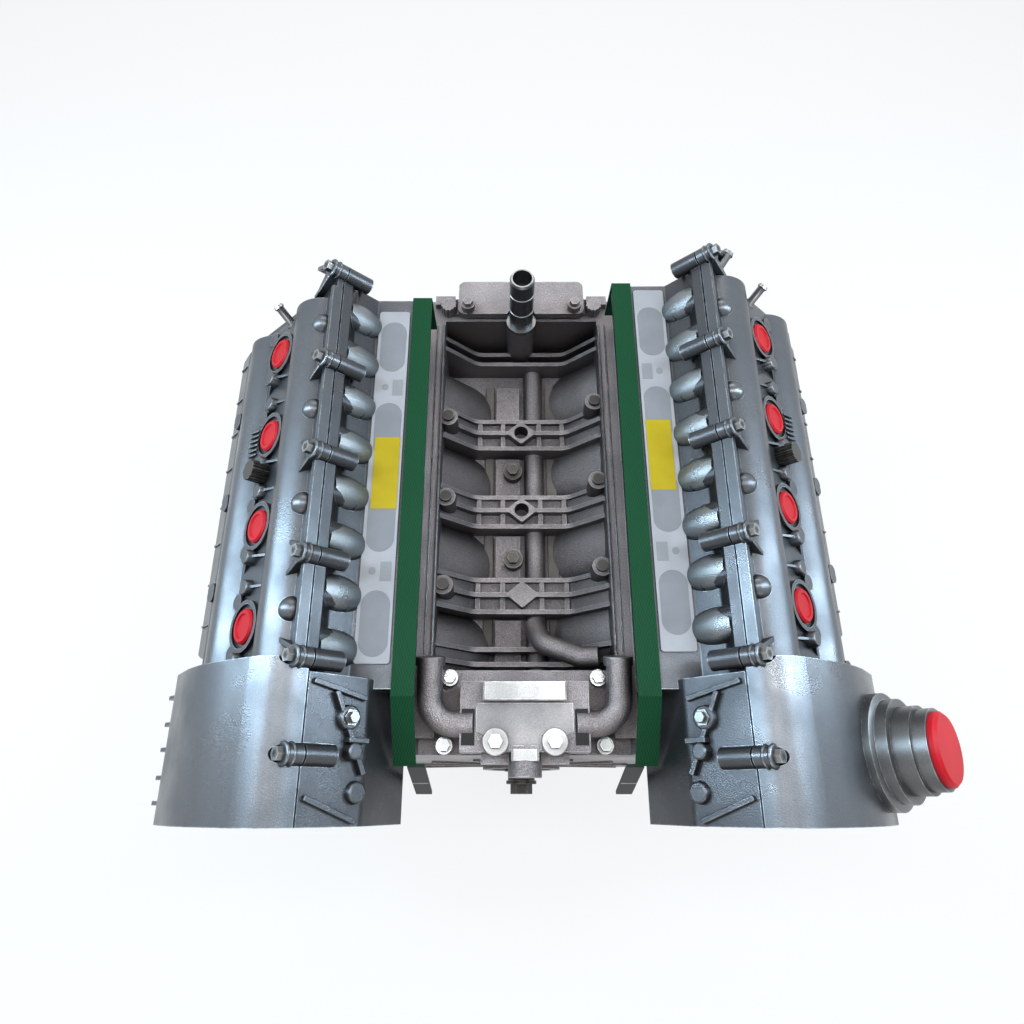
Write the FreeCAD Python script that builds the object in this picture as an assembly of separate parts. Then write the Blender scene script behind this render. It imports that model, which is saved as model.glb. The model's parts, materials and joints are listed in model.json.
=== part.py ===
"""Ninety-degree V8 petrol engine, as a dressed long block: castings, crank train, valve gear and transit covers.

Frame: the crankshaft turns about the Y axis, +Z is up, and the origin is where that axis meets the rear face.
The front of the engine points along -Y. Left and right are as seen from the front, so left is -X.
Lengths are millimetres. Each bank is drawn with its bores upright and then leaned 45 degrees, so that in
bank coordinates x runs outboard, y runs along the crank and z, here called height, runs up the bore.
"""

import FreeCAD, Part
import math
import os

from FreeCAD import Vector

# ---------------------------------------------------------------- driving dimensions
BORE = 92.5
STROKE = 93.0
CYLINDER_PITCH = 100.0
BANK_STAGGER = 20.0
BANK_LEAN = 45.0
ROD_LENGTH = 151.0
COMPRESSION_HEIGHT = 30.0
DECK = 228.0
HEAD_GASKET = 1.0
COVER_JOINT = 362.0

REAR_MAIN_Y = -57.0
CHEST_BACK_Y = -480.0
CASE_FRONT_Y = -512.0
HEAD_FRONT_Y = -588.0
FRONT_COVER_THICK = 15.0
BEDPLATE_DEPTH = 78.0
SUMP_FLOOR_Z = -205.0

MAIN_RADIUS = 32.5
PIN_RADIUS = 28.0
MAIN_LENGTH = 24.0
WEB_THICK = 16.0
COUNTERWEIGHT_RADIUS = 74.0
CRANKCASE_RADIUS = 96.0
BEARING_SHELL = 2.5
RUNNING = 0.05
LINER_WALL = 3.0
SEAL_RADIUS = 58.0

INTAKE_CAM = (-50.0, 350.0)
EXHAUST_CAM = (46.0, 350.0)
CAM_JOURNAL = 13.0
CAM_BASE = 16.0
CAM_LIFT = 9.0
CAM_SPROCKET = 43.3
CRANK_SPROCKET = CAM_SPROCKET / 2
CHAIN_HALF = 4.0
VALVE_STEM = 3.0

PORT_X = 140.0
SHELF_Z = 278.0
FILM_THICK = 0.8

SIDES = ("left", "right")
CRANK_ANGLES = (180.0, 270.0, 90.0, 0.0)
PIN_Y = [REAR_MAIN_Y - CYLINDER_PITCH * (k + 0.5) for k in range(4)]
MAIN_Y = [REAR_MAIN_Y - CYLINDER_PITCH * k for k in range(5)]
CRANK_RADIUS = STROKE / 2
BORE_RADIUS = BORE / 2

Y_AXIS = Vector(0, 1, 0)
Z_AXIS = Vector(0, 0, 1)
ORIGIN = Vector(0, 0, 0)


# ---------------------------------------------------------------- drawing helpers
def rounded_wire(corners, place):
    """Closed outline through corners (a, b, radius); place turns (a, b) into a point in space."""
    edges, start, previous = [], None, None
    count = len(corners)
    for i, (a, b, radius) in enumerate(corners):
        here = Vector(a, b, 0)
        before = Vector(*corners[i - 1][:2], 0) - here
        after = Vector(*corners[(i + 1) % count][:2], 0) - here
        before.normalize()
        after.normalize()
        half = math.acos(max(-1.0, min(1.0, before.dot(after)))) / 2
        if radius > 0 and half < math.pi / 2 - 1e-4:
            reach = radius / math.tan(half)
            middle = before + after
            middle.normalize()
            first = here + before * reach
            last = here + after * reach
            crown = here + middle * (radius / math.sin(half) - radius)
        else:
            first = last = here
            crown = None
        if previous is not None and previous.distanceToPoint(first) > 1e-6:
            edges.append(Part.LineSegment(place(previous), place(first)).toShape())
        if crown is not None:
            edges.append(Part.Arc(place(first), place(crown), place(last)).toShape())
        previous = last
        start = first if start is None else start
    if previous.distanceToPoint(start) > 1e-6:
        edges.append(Part.LineSegment(place(previous), place(start)).toShape())
    return Part.Wire(edges)


def prism_y(corners, y0, y1):
    """Solid with outline (x, z, radius), running from y0 to y1."""
    wire = rounded_wire(corners, lambda p: Vector(p.x, y0, p.y))
    return Part.Face(wire).extrude(Vector(0, y1 - y0, 0))


def prism_z(corners, z0, z1):
    """Solid with outline (x, y, radius), running from z0 to z1."""
    wire = rounded_wire(corners, lambda p: Vector(p.x, p.y, z0))
    return Part.Face(wire).extrude(Vector(0, 0, z1 - z0))


def prism_x(corners, x0, x1):
    """Solid with outline (y, z, radius), running from x0 to x1."""
    wire = rounded_wire(corners, lambda p: Vector(x0, p.x, p.y))
    return Part.Face(wire).extrude(Vector(x1 - x0, 0, 0))


def box(x0, x1, y0, y1, z0, z1):
    return Part.makeBox(x1 - x0, y1 - y0, z1 - z0, Vector(x0, y0, z0))


def rod(radius, start, end):
    """Round bar between two points."""
    start, end = Vector(*start), Vector(*end)
    return Part.makeCylinder(radius, (end - start).Length, start, end - start)


def tube(outer, inner, start, end):
    return rod(outer, start, end).cut(rod(inner, start, end))


def turned(profile, start, axis):
    """Solid of revolution: profile is (distance along axis, radius) pairs, closed on the axis."""
    points = [Vector(r, 0, d) for d, r in profile]
    points = [Vector(0, 0, profile[0][0])] + points + [Vector(0, 0, profile[-1][0]), Vector(0, 0, profile[0][0])]
    kept = [p for i, p in enumerate(points) if i == 0 or p.distanceToPoint(points[i - 1]) > 1e-7]
    solid = Part.Face(Part.makePolygon(kept)).revolve(ORIGIN, Z_AXIS, 360)
    solid.Placement = FreeCAD.Placement(Vector(*start), FreeCAD.Rotation(Z_AXIS, Vector(*axis)))
    return Part.makeCompound([solid]).Solids[0]


def pipe(radius, points, bend):
    """Round bar along a path of straight runs with tangent arcs of radius bend at its corners."""
    points = [Vector(*p) for p in points]
    edges, last = [], points[0]
    for before, here, after in zip(points, points[1:], points[2:]):
        back, on = before - here, after - here
        back.normalize()
        on.normalize()
        half = back.getAngle(on) / 2
        reach = bend / math.tan(half)
        middle = back + on
        middle.normalize()
        first, final = here + back * reach, here + on * reach
        crown = here + middle * (bend / math.sin(half) - bend)
        edges.append(Part.LineSegment(last, first).toShape())
        edges.append(Part.Arc(first, crown, final).toShape())
        last = final
    edges.append(Part.LineSegment(last, points[-1]).toShape())
    path = Part.Wire(edges)
    ring = Part.Wire(Part.makeCircle(radius, points[0], points[1] - points[0]))
    return path.makePipeShell([ring], True, False)


def fuse(shapes):
    shapes = list(shapes)
    whole = shapes[0].fuse(shapes[1:]) if len(shapes) > 1 else shapes[0]
    return whole.removeSplitter()


def lean(shape, side):
    """Takes a shape from bank coordinates to the engine's."""
    leaned = shape.copy()
    leaned.rotate(ORIGIN, Y_AXIS, BANK_LEAN)
    return leaned if side == "right" else leaned.mirror(ORIGIN, Vector(1, 0, 0))


def flip(shape, side):
    """Takes a shape drawn for the right side of the engine to its own side."""
    return shape if side == "right" else shape.mirror(ORIGIN, Vector(1, 0, 0))


def save(name, solids):
    """Writes one sub-part; solids is a shape or a list of shapes."""
    shape = Part.makeCompound(solids) if isinstance(solids, list) else solids
    shape = Part.makeCompound(shape.Solids)
    shape.exportStep(os.path.join("parts", name + ".step"))


def stagger(side):
    return BANK_STAGGER / 2 if side == "right" else -BANK_STAGGER / 2


def cylinder_y(side):
    """Bore centres along the crank, from the rear."""
    return [y + stagger(side) for y in PIN_Y]


def pin_centre(k):
    angle = math.radians(CRANK_ANGLES[k])
    return CRANK_RADIUS * math.sin(angle), CRANK_RADIUS * math.cos(angle)


def wrist_height(side, k):
    """Height of a wrist pin up its bore with the crank at rest."""
    angle = math.radians(CRANK_ANGLES[k] - (BANK_LEAN if side == "right" else -BANK_LEAN))
    return CRANK_RADIUS * math.cos(angle) + math.sqrt(ROD_LENGTH**2 - (CRANK_RADIUS * math.sin(angle)) ** 2)


def in_world(outboard, height, side="right"):
    """(x, z) of a point given in bank coordinates."""
    lean_angle = math.radians(BANK_LEAN)
    x = outboard * math.cos(lean_angle) + height * math.sin(lean_angle)
    z = height * math.cos(lean_angle) - outboard * math.sin(lean_angle)
    return (x if side == "right" else -x), z


# ---------------------------------------------------------------- block
VALLEY_HALF = 92.0
VALLEY_FLOOR = 115.0
VALLEY_REAR_Y = -30.0
VALLEY_FRONT_Y = -446.0
RAIL_TOP = 200.0
CHEST_TOP = 190.0
BARREL_RADIUS = 57.0
RIB_THICK = 5.0
RIB_GAP = 18.0
BOSS_X = 85.0
HOSE_Y = -34.0


def block_outline(top):
    """Half-V outline of the block, both banks, closed over the valley at the height top."""
    inner, outer = in_world(-63, DECK), in_world(70, DECK)
    skirt = in_world(70, 118)
    right = [
        (112, top, 2),
        (inner[0], inner[1], 2),
        (outer[0], outer[1], 2),
        (skirt[0], skirt[1], 25),
        (142, 12, 6),
        (142, 0, 0),
    ]
    left = [(-x, z, r) for x, z, r in reversed(right)]
    return right + left


def chest_outline():
    """Inside of the timing chest, one wall inside the block's outline."""
    right = [(104, CHEST_TOP - 10, 8), (152, 208, 6), (200, 100, 10), (130, 40, 20), (130, -1, 0)]
    return right + [(-x, z, r) for x, z, r in reversed(right)]


def valley_rib(y, thick, height):
    """Cross rib on a main bulkhead: level in the middle, and rising to the rails."""
    half = VALLEY_HALF + 1
    points = [
        (-half, VALLEY_FLOOR - 2, 0),
        (half, VALLEY_FLOOR - 2, 0),
        (half, height + 40, 0),
        (54, height, 18),
        (-54, height, 18),
        (-half, height + 40, 0),
    ]
    return prism_y(points, y - thick / 2, y + thick / 2)


def valley_detail():
    """Ribs, pads, gallery tube and bolt bosses on the valley floor."""
    pieces = []
    for y in MAIN_Y[1:4]:
        for step, height in ((-RIB_GAP, 144.0), (0.0, 150.0), (RIB_GAP, 144.0)):
            pieces.append(valley_rib(y + step, RIB_THICK, height))
        pieces.append(valley_rib(y, 2 * RIB_GAP, 137.0))
        pieces.append(prism_z([(-18, y, 0), (0, y - 15, 3), (18, y, 0), (0, y + 15, 3)], VALLEY_FLOOR - 2, 151))
        for x in (-50, -22, 22, 50):
            pieces.append(box(x - 2.5, x + 2.5, y - RIB_GAP, y + RIB_GAP, VALLEY_FLOOR - 2, 143))
    for y in (VALLEY_REAR_Y - 14, VALLEY_REAR_Y - 28):
        pieces.append(valley_rib(y, RIB_THICK, 146))
    for y in (VALLEY_FRONT_Y + 14, VALLEY_FRONT_Y + 30):
        pieces.append(valley_rib(y, RIB_THICK, 142))
    pieces.append(rod(17, (0, HOSE_Y, VALLEY_FLOOR - 2), (0, HOSE_Y, RAIL_TOP)))
    gallery = rod(12, (16, VALLEY_FRONT_Y - 2, VALLEY_FLOOR + 4), (16, VALLEY_REAR_Y - 20, VALLEY_FLOOR + 4))
    pieces.append(gallery)
    for y in PIN_Y:
        pieces.append(box(-30, -2, y - 26, y + 26, VALLEY_FLOOR - 2, VALLEY_FLOOR + 9))
    for y in MAIN_Y[1:4]:
        for x, step in ((-BOSS_X, 0.0), (BOSS_X, RIB_GAP + 2)):
            pieces.append(rod(10.5, (x, y + step, 120), (x, y + step, 193)))
    return pieces


def barrels():
    """Outer walls of the bores, where they stand proud of the valley floor."""
    walls = []
    for side in SIDES:
        for y in cylinder_y(side):
            walls.append(lean(rod(BARREL_RADIUS, (0, y, 60), (0, y, DECK - 2)), side))
    return walls


def crankcase_bays(lowest):
    """Space round the crank between the main bulkheads, from z = lowest up."""
    bays = []
    half = (CYLINDER_PITCH - MAIN_LENGTH + 2) / 2
    for y in PIN_Y:
        bays.append(rod(CRANKCASE_RADIUS, (0, y - half, 0), (0, y + half, 0)))
        bays.append(box(-CRANKCASE_RADIUS, CRANKCASE_RADIUS, y - half, y + half, lowest, 0))
    return bays


def rear_flange_outline(top):
    """Bell housing face: a wide arch over the crank, cut level at the top."""
    right = [
        (78, top, 6),
        (128, 176, 16),
        (176, 118, 40),
        (196, 20, 60),
        (176, -BEDPLATE_DEPTH - 0.0, 4),
    ]
    return right + [(-x, z, r) for x, z, r in reversed(right)]


BELL_BOLTS = (165.0, 60.0)
BELL_HOLE = 6.0


def bell_holes(y0, y1):
    x, z = BELL_BOLTS
    return [rod(BELL_HOLE, (a * x, y0, b * z), (a * x, y1, b * z)) for a in (-1, 1) for b in (-1, 1)]


def engine_block():
    body = prism_y(block_outline(RAIL_TOP), CASE_FRONT_Y, -1)
    flange = prism_y(rear_flange_outline(RAIL_TOP + 4), -22, 0)
    flange = flange.cut(box(-300, 300, -40, 10, -200, 0))
    valley = box(-VALLEY_HALF, VALLEY_HALF, VALLEY_FRONT_Y, VALLEY_REAR_Y, VALLEY_FLOOR, 260)
    body = body.fuse(flange).cut(valley)
    above_chest = box(-VALLEY_HALF + 4, VALLEY_HALF - 4, CASE_FRONT_Y - 1, VALLEY_FRONT_Y + 1, CHEST_TOP, 260)
    inside = box(-VALLEY_HALF - 1, VALLEY_HALF + 1, VALLEY_FRONT_Y - 2, VALLEY_REAR_Y + 2, 0, 260)
    walls = fuse(barrels()).common(inside)
    body = body.fuse([walls] + valley_detail()).cut(above_chest)
    cuts = crankcase_bays(-1)
    for side in SIDES:
        for y in cylinder_y(side):
            cuts.append(lean(rod(BORE_RADIUS + LINER_WALL, (0, y, 60), (0, y, DECK + 1)), side))
    cuts.append(rod(MAIN_RADIUS + BEARING_SHELL, (0, CHEST_BACK_Y - 10, 0), (0, 5, 0)))
    cuts.append(prism_y(chest_outline(), CASE_FRONT_Y - 1, CHEST_BACK_Y))
    for side in SIDES:
        cuts.append(lean(box(-59, 61, CASE_FRONT_Y - 1, CHEST_BACK_Y, DECK - 40, DECK + 20), side))
    for y in MAIN_Y[1:3]:
        cuts.append(rod(8.5, (0, y, 128), (0, y, 160)))
    for y in MAIN_Y[1:4]:
        for x, step in ((-BOSS_X, 0.0), (BOSS_X, RIB_GAP + 2)):
            cuts.append(rod(4.5, (x, y + step, 165), (x, y + step, 195)))
    cuts.append(rod(SEAL_RADIUS, (0, -14, 0), (0, 5, 0)))
    cuts += bell_holes(-30, 5)
    cuts.append(rod(14, (0, HOSE_Y, 160), (0, HOSE_Y, 206)))
    cuts.append(rod(18.5, (0, HOSE_Y, RAIL_TOP), (0, HOSE_Y, 210)))
    for side in (-1, 1):
        for y in MOUNT_BOLTS_Y:
            for z in MOUNT_BOLTS_Z:
                cuts.append(rod(5, (side * 122, y, z), (side * 170, y, z)))
    pads = [box(a * 128 if a > 0 else -152, 152 if a > 0 else -128, -330, -190, 2, 78) for a in (-1, 1)]
    return body.fuse(pads).cut(cuts).removeSplitter()


MOUNT_BOLTS_Y = (-310.0, -210.0)
MOUNT_BOLTS_Z = (14.0, 46.0)


def cylinder_liners():
    liners = []
    for side in SIDES:
        for y in cylinder_y(side):
            liner = tube(BORE_RADIUS + LINER_WALL, BORE_RADIUS, (0, y, 94), (0, y, DECK))
            liners.append(lean(liner, side))
    return liners


def bedplate():
    """Lower half of the crankcase: a ladder of main caps in one casting."""
    half = 142
    body = box(-half, half, CASE_FRONT_Y, -1, -BEDPLATE_DEPTH, 0)
    flange = prism_y(rear_flange_outline(RAIL_TOP), -22, 0).common(box(-300, 300, -40, 10, -BEDPLATE_DEPTH, 0))
    ribs = [box(-half - 6, half + 6, y - 4, y + 4, -BEDPLATE_DEPTH, -12) for y in MAIN_Y]
    body = body.fuse([flange] + ribs)
    cuts = crankcase_bays(-BEDPLATE_DEPTH - 1)
    cuts.append(rod(MAIN_RADIUS + BEARING_SHELL, (0, CHEST_BACK_Y - 10, 0), (0, 5, 0)))
    cuts.append(box(-half + 8, half - 8, CASE_FRONT_Y - 1, CHEST_BACK_Y, -BEDPLATE_DEPTH - 1, 1))
    cuts.append(rod(SEAL_RADIUS, (0, -14, 0), (0, 5, 0)))
    cuts += bell_holes(-30, 5)
    return body.cut(cuts).removeSplitter()


def main_bearings():
    """Split shells: an upper and a lower half on each main journal."""
    shells = []
    for y in MAIN_Y:
        half = MAIN_LENGTH / 2 - 1
        ring = tube(MAIN_RADIUS + BEARING_SHELL, MAIN_RADIUS + RUNNING, (0, y - half, 0), (0, y + half, 0))
        for low, high in ((0, 60), (-60, 0)):
            shells.append(ring.common(box(-60, 60, y - 20, y + 20, low, high)))
    return shells



# ---------------------------------------------------------------- crank train
def crankshaft():
    solid = [rod(MAIN_RADIUS, (0, -46, 0), (0, -8, 0)), rod(46, (0, -8, 0), (0, 0, 0))]
    for y in MAIN_Y:
        solid.append(rod(MAIN_RADIUS, (0, y - 13, 0), (0, y + 13, 0)))
    for k, y in enumerate(PIN_Y):
        x, z = pin_centre(k)
        solid.append(rod(PIN_RADIUS, (x, y - 24, z), (x, y + 24, z)))
        for end in (-1, 1):
            web = crank_web(y + end * 30)
            web.rotate(ORIGIN, Y_AXIS, CRANK_ANGLES[k])
            solid.append(web)
    nose = turned([(0, MAIN_RADIUS), (8, MAIN_RADIUS), (8, 20), (68, 20), (68, 16), (78, 16)],
                  (0, MAIN_Y[-1] - 10, 0), (0, -1, 0))
    nose = nose.cut(rod(8, (0, -500, 0), (0, -560, 0)))
    return [fuse(solid + [nose]), crank_sprockets()]


def crank_web(middle):
    """Web with its pin straight up and its counterweight below."""
    y0, y1 = middle - WEB_THICK / 2, middle + WEB_THICK / 2
    upper = prism_y([(-38, 0, 0), (-34, CRANK_RADIUS + 34, 30), (34, CRANK_RADIUS + 34, 30), (38, 0, 0)], y0, y1)
    weight = rod(COUNTERWEIGHT_RADIUS, (0, y0, 0), (0, y1, 0)).common(box(-66, 66, y0, y1, -80, 6))
    return upper.fuse(weight)


def crank_sprockets():
    rings = [tube(21, 20, (0, -484, 0), (0, -511, 0))]
    for side in SIDES:
        y = CHAIN_Y[side]
        rings.append(tube(CRANK_SPROCKET - 1, 20, (0, y - 3, 0), (0, y + 3, 0)))
    return fuse(rings)


CHAIN_Y = {"left": -504.0, "right": -490.0}


def crank_bolt():
    """Bolt and washer in the crank's nose."""
    return fuse([rod(7.9, (0, -505, 0), (0, -546, 0)), rod(18, (0, -545.1, 0), (0, -549, 0)),
                 prism_y(hexagon(13), -560, -549)])


def hexagon(radius, x=0.0, z=0.0):
    corner = [math.radians(60 * n) for n in range(6)]
    return [(x + radius * math.cos(a), z + radius * math.sin(a), 0) for a in corner]


FLEX_RADIUS = 150.0


def flexplate():
    plate = turned([(0, 52), (3, 52), (3, 60), (6, 110), (6, FLEX_RADIUS - 8), (2, FLEX_RADIUS - 8),
                    (2, FLEX_RADIUS), (12, FLEX_RADIUS), (12, 138), (9, 138), (9, 112), (6, 60)],
                   (0, 0, 0), (0, 1, 0))
    cuts = [rod(18, (0, -5, 0), (0, 20, 0))]
    for n in range(6):
        a = math.radians(60 * n + 30)
        cuts.append(rod(15, (86 * math.cos(a), -5, 86 * math.sin(a)), (86 * math.cos(a), 20, 86 * math.sin(a))))
        cuts.append(rod(5, (126 * math.cos(a), -5, 126 * math.sin(a)), (126 * math.cos(a), 20, 126 * math.sin(a))))
    plate = plate.cut(cuts)
    screws = []
    for n in range(8):
        a = math.radians(45 * n)
        x, z = 36 * math.cos(a), 36 * math.sin(a)
        screws.append(rod(9, (x, 5, z), (x, 12, z)))
    return [plate.fuse(screws)]


def piston(side, k):
    """Piston at rest in its bore, with three rings and a hollow wrist pin."""
    y = cylinder_y(side)[k]
    h = wrist_height(side, k)
    radius = BORE_RADIUS - 0.03
    crown = rod(radius, (0, y, h - 20), (0, y, h + COMPRESSION_HEIGHT))
    dish = rod(30, (0, y, h + COMPRESSION_HEIGHT - 3), (0, y, h + COMPRESSION_HEIGHT + 1))
    hollow = rod(38, (0, y, h - 21), (0, y, h + 19))
    sides = [box(-60, 60, y + a * 44 - 14, y + a * 44 + 14, h - 21, h + 2) for a in (-1, 1)]
    bosses = [rod(17, (0, y + a * 14, h), (0, y + a * 40, h)) for a in (-1, 1)]
    body = crown.cut([dish, hollow]).cut(sides)
    body = body.fuse([b.common(crown.cut(dish)) for b in bosses])
    rings = []
    for drop in (5, 10.5, 15.5):
        top = h + COMPRESSION_HEIGHT - drop
        slot = tube(radius + 1, radius - 3, (0, y, top - 2), (0, y, top))
        body = body.cut(slot)
        rings.append(tube(BORE_RADIUS - 0.02, radius - 3, (0, y, top - 2), (0, y, top)))
    pin = tube(11, 6, (0, y - 32, h), (0, y + 32, h))
    body = body.cut(rod(11, (0, y - 45, h), (0, y + 45, h)))
    return [lean(s, side) for s in [body] + rings + [pin]]


def connecting_rod(side, k):
    """Small eye, I-section shank and big eye with its bolted cap and bearing shell."""
    y = cylinder_y(side)[k]
    upright = ROD_LENGTH
    eye = rod(16, (0, y - 11, upright), (0, y + 11, upright))
    big = rod(37, (0, y - 9.5, 0), (0, y + 9.5, 0))
    ears = box(-45, 45, y - 9.5, y + 9.5, -20, 20)
    shank = prism_z([(-14, y - 7, 0), (14, y - 7, 0), (14, y + 7, 0), (-14, y + 7, 0)], 25, upright - 10)
    grooves = [box(-8, 8, y + a * 5.5 - 3, y + a * 5.5 + 3, 44, upright - 24) for a in (-1, 1)]
    body = eye.fuse([big, ears, shank.cut(grooves)])
    body = body.cut([rod(11 + RUNNING, (0, y - 20, upright), (0, y + 20, upright)),
                     rod(PIN_RADIUS + 2, (0, y - 20, 0), (0, y + 20, 0))])
    cap = body.common(box(-60, 60, y - 20, y + 20, -60, 0))
    body = body.common(box(-60, 60, y - 20, y + 20, 0, 200))
    shells = tube(PIN_RADIUS + 2, PIN_RADIUS + RUNNING, (0, y - 9, 0), (0, y + 9, 0))
    bolts = [rod(6, (a * 38, y, -26), (a * 38, y, -20)) for a in (-1, 1)]
    x, z = pin_centre(k)
    centre_x, centre_z = (x - z, x + z) if side == "right" else (-x - z, z - x)
    centre = Vector(centre_x * math.sqrt(0.5), 0, centre_z * math.sqrt(0.5))
    reach = math.degrees(math.asin(-centre.x / ROD_LENGTH))
    placed = []
    for solid in [body, cap, shells] + bolts:
        solid.rotate(ORIGIN, Y_AXIS, reach)
        solid.translate(centre)
        placed.append(lean(solid, side))
    return placed


# ---------------------------------------------------------------- heads and valve gear
HEAD_REAR = {"left": -56.0, "right": -36.0}
COVER_REAR = {"left": -80.0, "right": -51.0}
CHAMBER = (-80.0, 76.0, 300.0)
INTAKE_SEAT = (-20.0, 236.0)
EXHAUST_SEAT = (20.0, 236.0)
PORT_MOUTH = (-97.6, 295.6)
VALVE_PITCH = 38.0


def head_outline():
    return [(-66, DECK + HEAD_GASKET, 0), (-114, 258, 4), (-121, 272, 2), (-83.4, 309.7, 3), (-84, 338, 6),
            (-95, 351, 2), (-95, COVER_JOINT, 0), (91, COVER_JOINT, 0), (91, 350, 2), (84, 340, 5),
            (86, 300, 4), (86, 244, 3), (70, DECK + HEAD_GASKET, 0)]


def head_front_outline():
    return [(-66, DECK + HEAD_GASKET, 0), (-103, 300, 12), (-103, COVER_JOINT, 0), (99, COVER_JOINT, 0),
            (99, 300, 12), (70, DECK + HEAD_GASKET, 0)]


def stem_axis(seat, cam):
    dx, dz = cam[0] - seat[0], cam[1] - seat[1]
    length = math.hypot(dx, dz)
    return dx / length, dz / length, length


def cylinder_head(side):
    rear, bottom = HEAD_REAR[side], DECK + HEAD_GASKET
    body = prism_y(head_outline(), CHEST_BACK_Y + 4, rear)
    body = body.fuse(prism_y(head_front_outline(), HEAD_FRONT_Y, CHEST_BACK_Y + 12))
    low, high, floor = CHAMBER
    back = COVER_REAR[side] - 4
    body = body.cut(box(low, high, CHEST_BACK_Y + 12, back, floor, COVER_JOINT + 1))
    chest = [(-58, bottom - 1, 0), (-98.6, 305, 10), (-98.6, COVER_JOINT + 1, 0), (94.6, COVER_JOINT + 1, 0),
             (94.6, 305, 10), (60, bottom - 1, 0)]
    body = body.cut(prism_y(chest, CASE_FRONT_Y, CHEST_BACK_Y))
    closed = [(-52, bottom + 12, 8), *chest[1:5], (54, bottom + 12, 8)]
    body = body.cut(prism_y(closed, HEAD_FRONT_Y + 5, CASE_FRONT_Y + 0.5))
    added, cuts, caps = [], [], []
    for y in cylinder_y(side):
        saddle = box(-74, 70, y - 6, y + 6, floor - 2, 350)
        added += [saddle, rod(17, (0, y, floor - 2), (0, y, COVER_JOINT - 0.5))]
        cuts += [rod(13, (0, y, 255), (0, y, COVER_JOINT + 20)), rod(6, (0, y, bottom - 1), (0, y, 260)),
                 turned([(0, 38), (6, 34), (9, 12)], (0, y, bottom), (0, 0, 1))]
        for cam, seat, mouth in ((INTAKE_CAM, INTAKE_SEAT, PORT_MOUTH), (EXHAUST_CAM, EXHAUST_SEAT, (104, 268))):
            ux, uz, length = stem_axis(seat, cam)
            cap = box(cam[0] - 22, cam[0] + 22, y - 6, y + 6, 350, 366).cut(rod(18, (0, y, 340), (0, y, 380)))
            caps.append(cap)
            low_end = (seat[0] + ux * 16, seat[1] + uz * 16)
            for step in (-VALVE_PITCH / 2, VALVE_PITCH / 2):
                vy = y + step
                start = (seat[0] - ux * 4, vy, seat[1] - uz * 4)
                cuts.append(rod(15.2, start, (seat[0] + ux * 9, vy, seat[1] + uz * 9)))
                cuts.append(rod(13, start, (seat[0] + ux * 22, vy, seat[1] + uz * 22)))
                cuts.append(rod(VALVE_STEM + RUNNING, start, (cam[0], vy, cam[1])))
                away = (mouth[0] - low_end[0], mouth[1] - low_end[1])
                grow = 1.15
                cuts.append(rod(15, (low_end[0], y + step * 0.7, low_end[1]),
                                (low_end[0] + away[0] * grow, y + step * 0.7, low_end[1] + away[1] * grow)))
    for cam in (INTAKE_CAM, EXHAUST_CAM):
        cuts.append(rod(CAM_JOURNAL + RUNNING, (cam[0], HEAD_FRONT_Y + 6, cam[1]), (cam[0], cylinder_y(side)[0] + 30, cam[1])))
    for y in cylinder_y(side):
        for step in (-50, 50):
            for a in (-1, 1):
                cuts.append(head_bolt_pocket(a, y + step))
    body = body.fuse(added).cut(cuts).removeSplitter()
    body = body.fuse(head_outside(side))
    journals = [rod(CAM_JOURNAL + RUNNING, (c[0], HEAD_FRONT_Y, c[1]), (c[0], 0, c[1])) for c in (INTAKE_CAM, EXHAUST_CAM)]
    caps = [c.cut(journals) for c in caps]
    return [lean(s, side) for s in [body.removeSplitter()] + caps]


def head_bolt_pocket(a, y):
    """Counterbore for a head bolt, down through the chamber floor."""
    return rod(9, (a * 58, y, 290), (a * 58, y, 301))


def head_outside(side):
    """Bulges of the tappet bores on the inboard wall, and ribs on the outboard one."""
    lumps = []
    for y in cylinder_y(side):
        for step in (-19, 19):
            lumps.append(rod(11, (-80, y + step, 320), (-84, y + step, 352)))
        lumps.append(box(84, 92, y - 3, y + 3, 290, 352))
    for y in FORK_Y[side]:
        lumps.append(rod(9, (fork_x(y), y, 332), (fork_x(y), y, COVER_JOINT)))
    inner = [box(CHAMBER[0], CHAMBER[1], CHEST_BACK_Y, 0, CHAMBER[2], COVER_JOINT + 1),
             box(-98.6, 94.6, HEAD_FRONT_Y + 5, CHEST_BACK_Y + 1, CHAMBER[2], COVER_JOINT + 1)]
    return [s.cut(inner) for s in lumps]


def camshaft(side, cam):
    """Camshaft with its phaser and chain sprocket; each lobe points where the firing order puts it."""
    x, z = cam
    front, rear = CHAIN_Y[side] - 30, cylinder_y(side)[0] + 28
    shaft = [rod(10, (x, front, z), (x, rear, z))]
    spread = 110.0 if cam == INTAKE_CAM else -110.0
    for k, y in enumerate(cylinder_y(side)):
        shaft.append(rod(CAM_JOURNAL, (x, y - 9, z), (x, y + 9, z)))
        tip = math.radians((CRANK_ANGLES[k] + 180.0 * (k % 2) * 2 + spread) / 2 + 180)
        for step in (-VALVE_PITCH / 2, VALVE_PITCH / 2):
            shaft.append(cam_lobe(x, y + step, z, tip))
    phaser = [rod(36, (x, CHAIN_Y[side] - 28, z), (x, CHAIN_Y[side] - 3, z)),
              rod(CAM_SPROCKET - 1, (x, CHAIN_Y[side] - 3, z), (x, CHAIN_Y[side] + 3, z)),
              rod(20, (x, CHAIN_Y[side] + 3, z), (x, CHAIN_Y[side] + 6, z))]
    phaser = fuse(phaser).cut(rod(10, (x, front - 20, z), (x, rear, z)))
    bolt = rod(9.9, (x, front - 4, z), (x, front, z))
    return [lean(s, side) for s in (fuse(shaft + [bolt]), phaser)]


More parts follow.
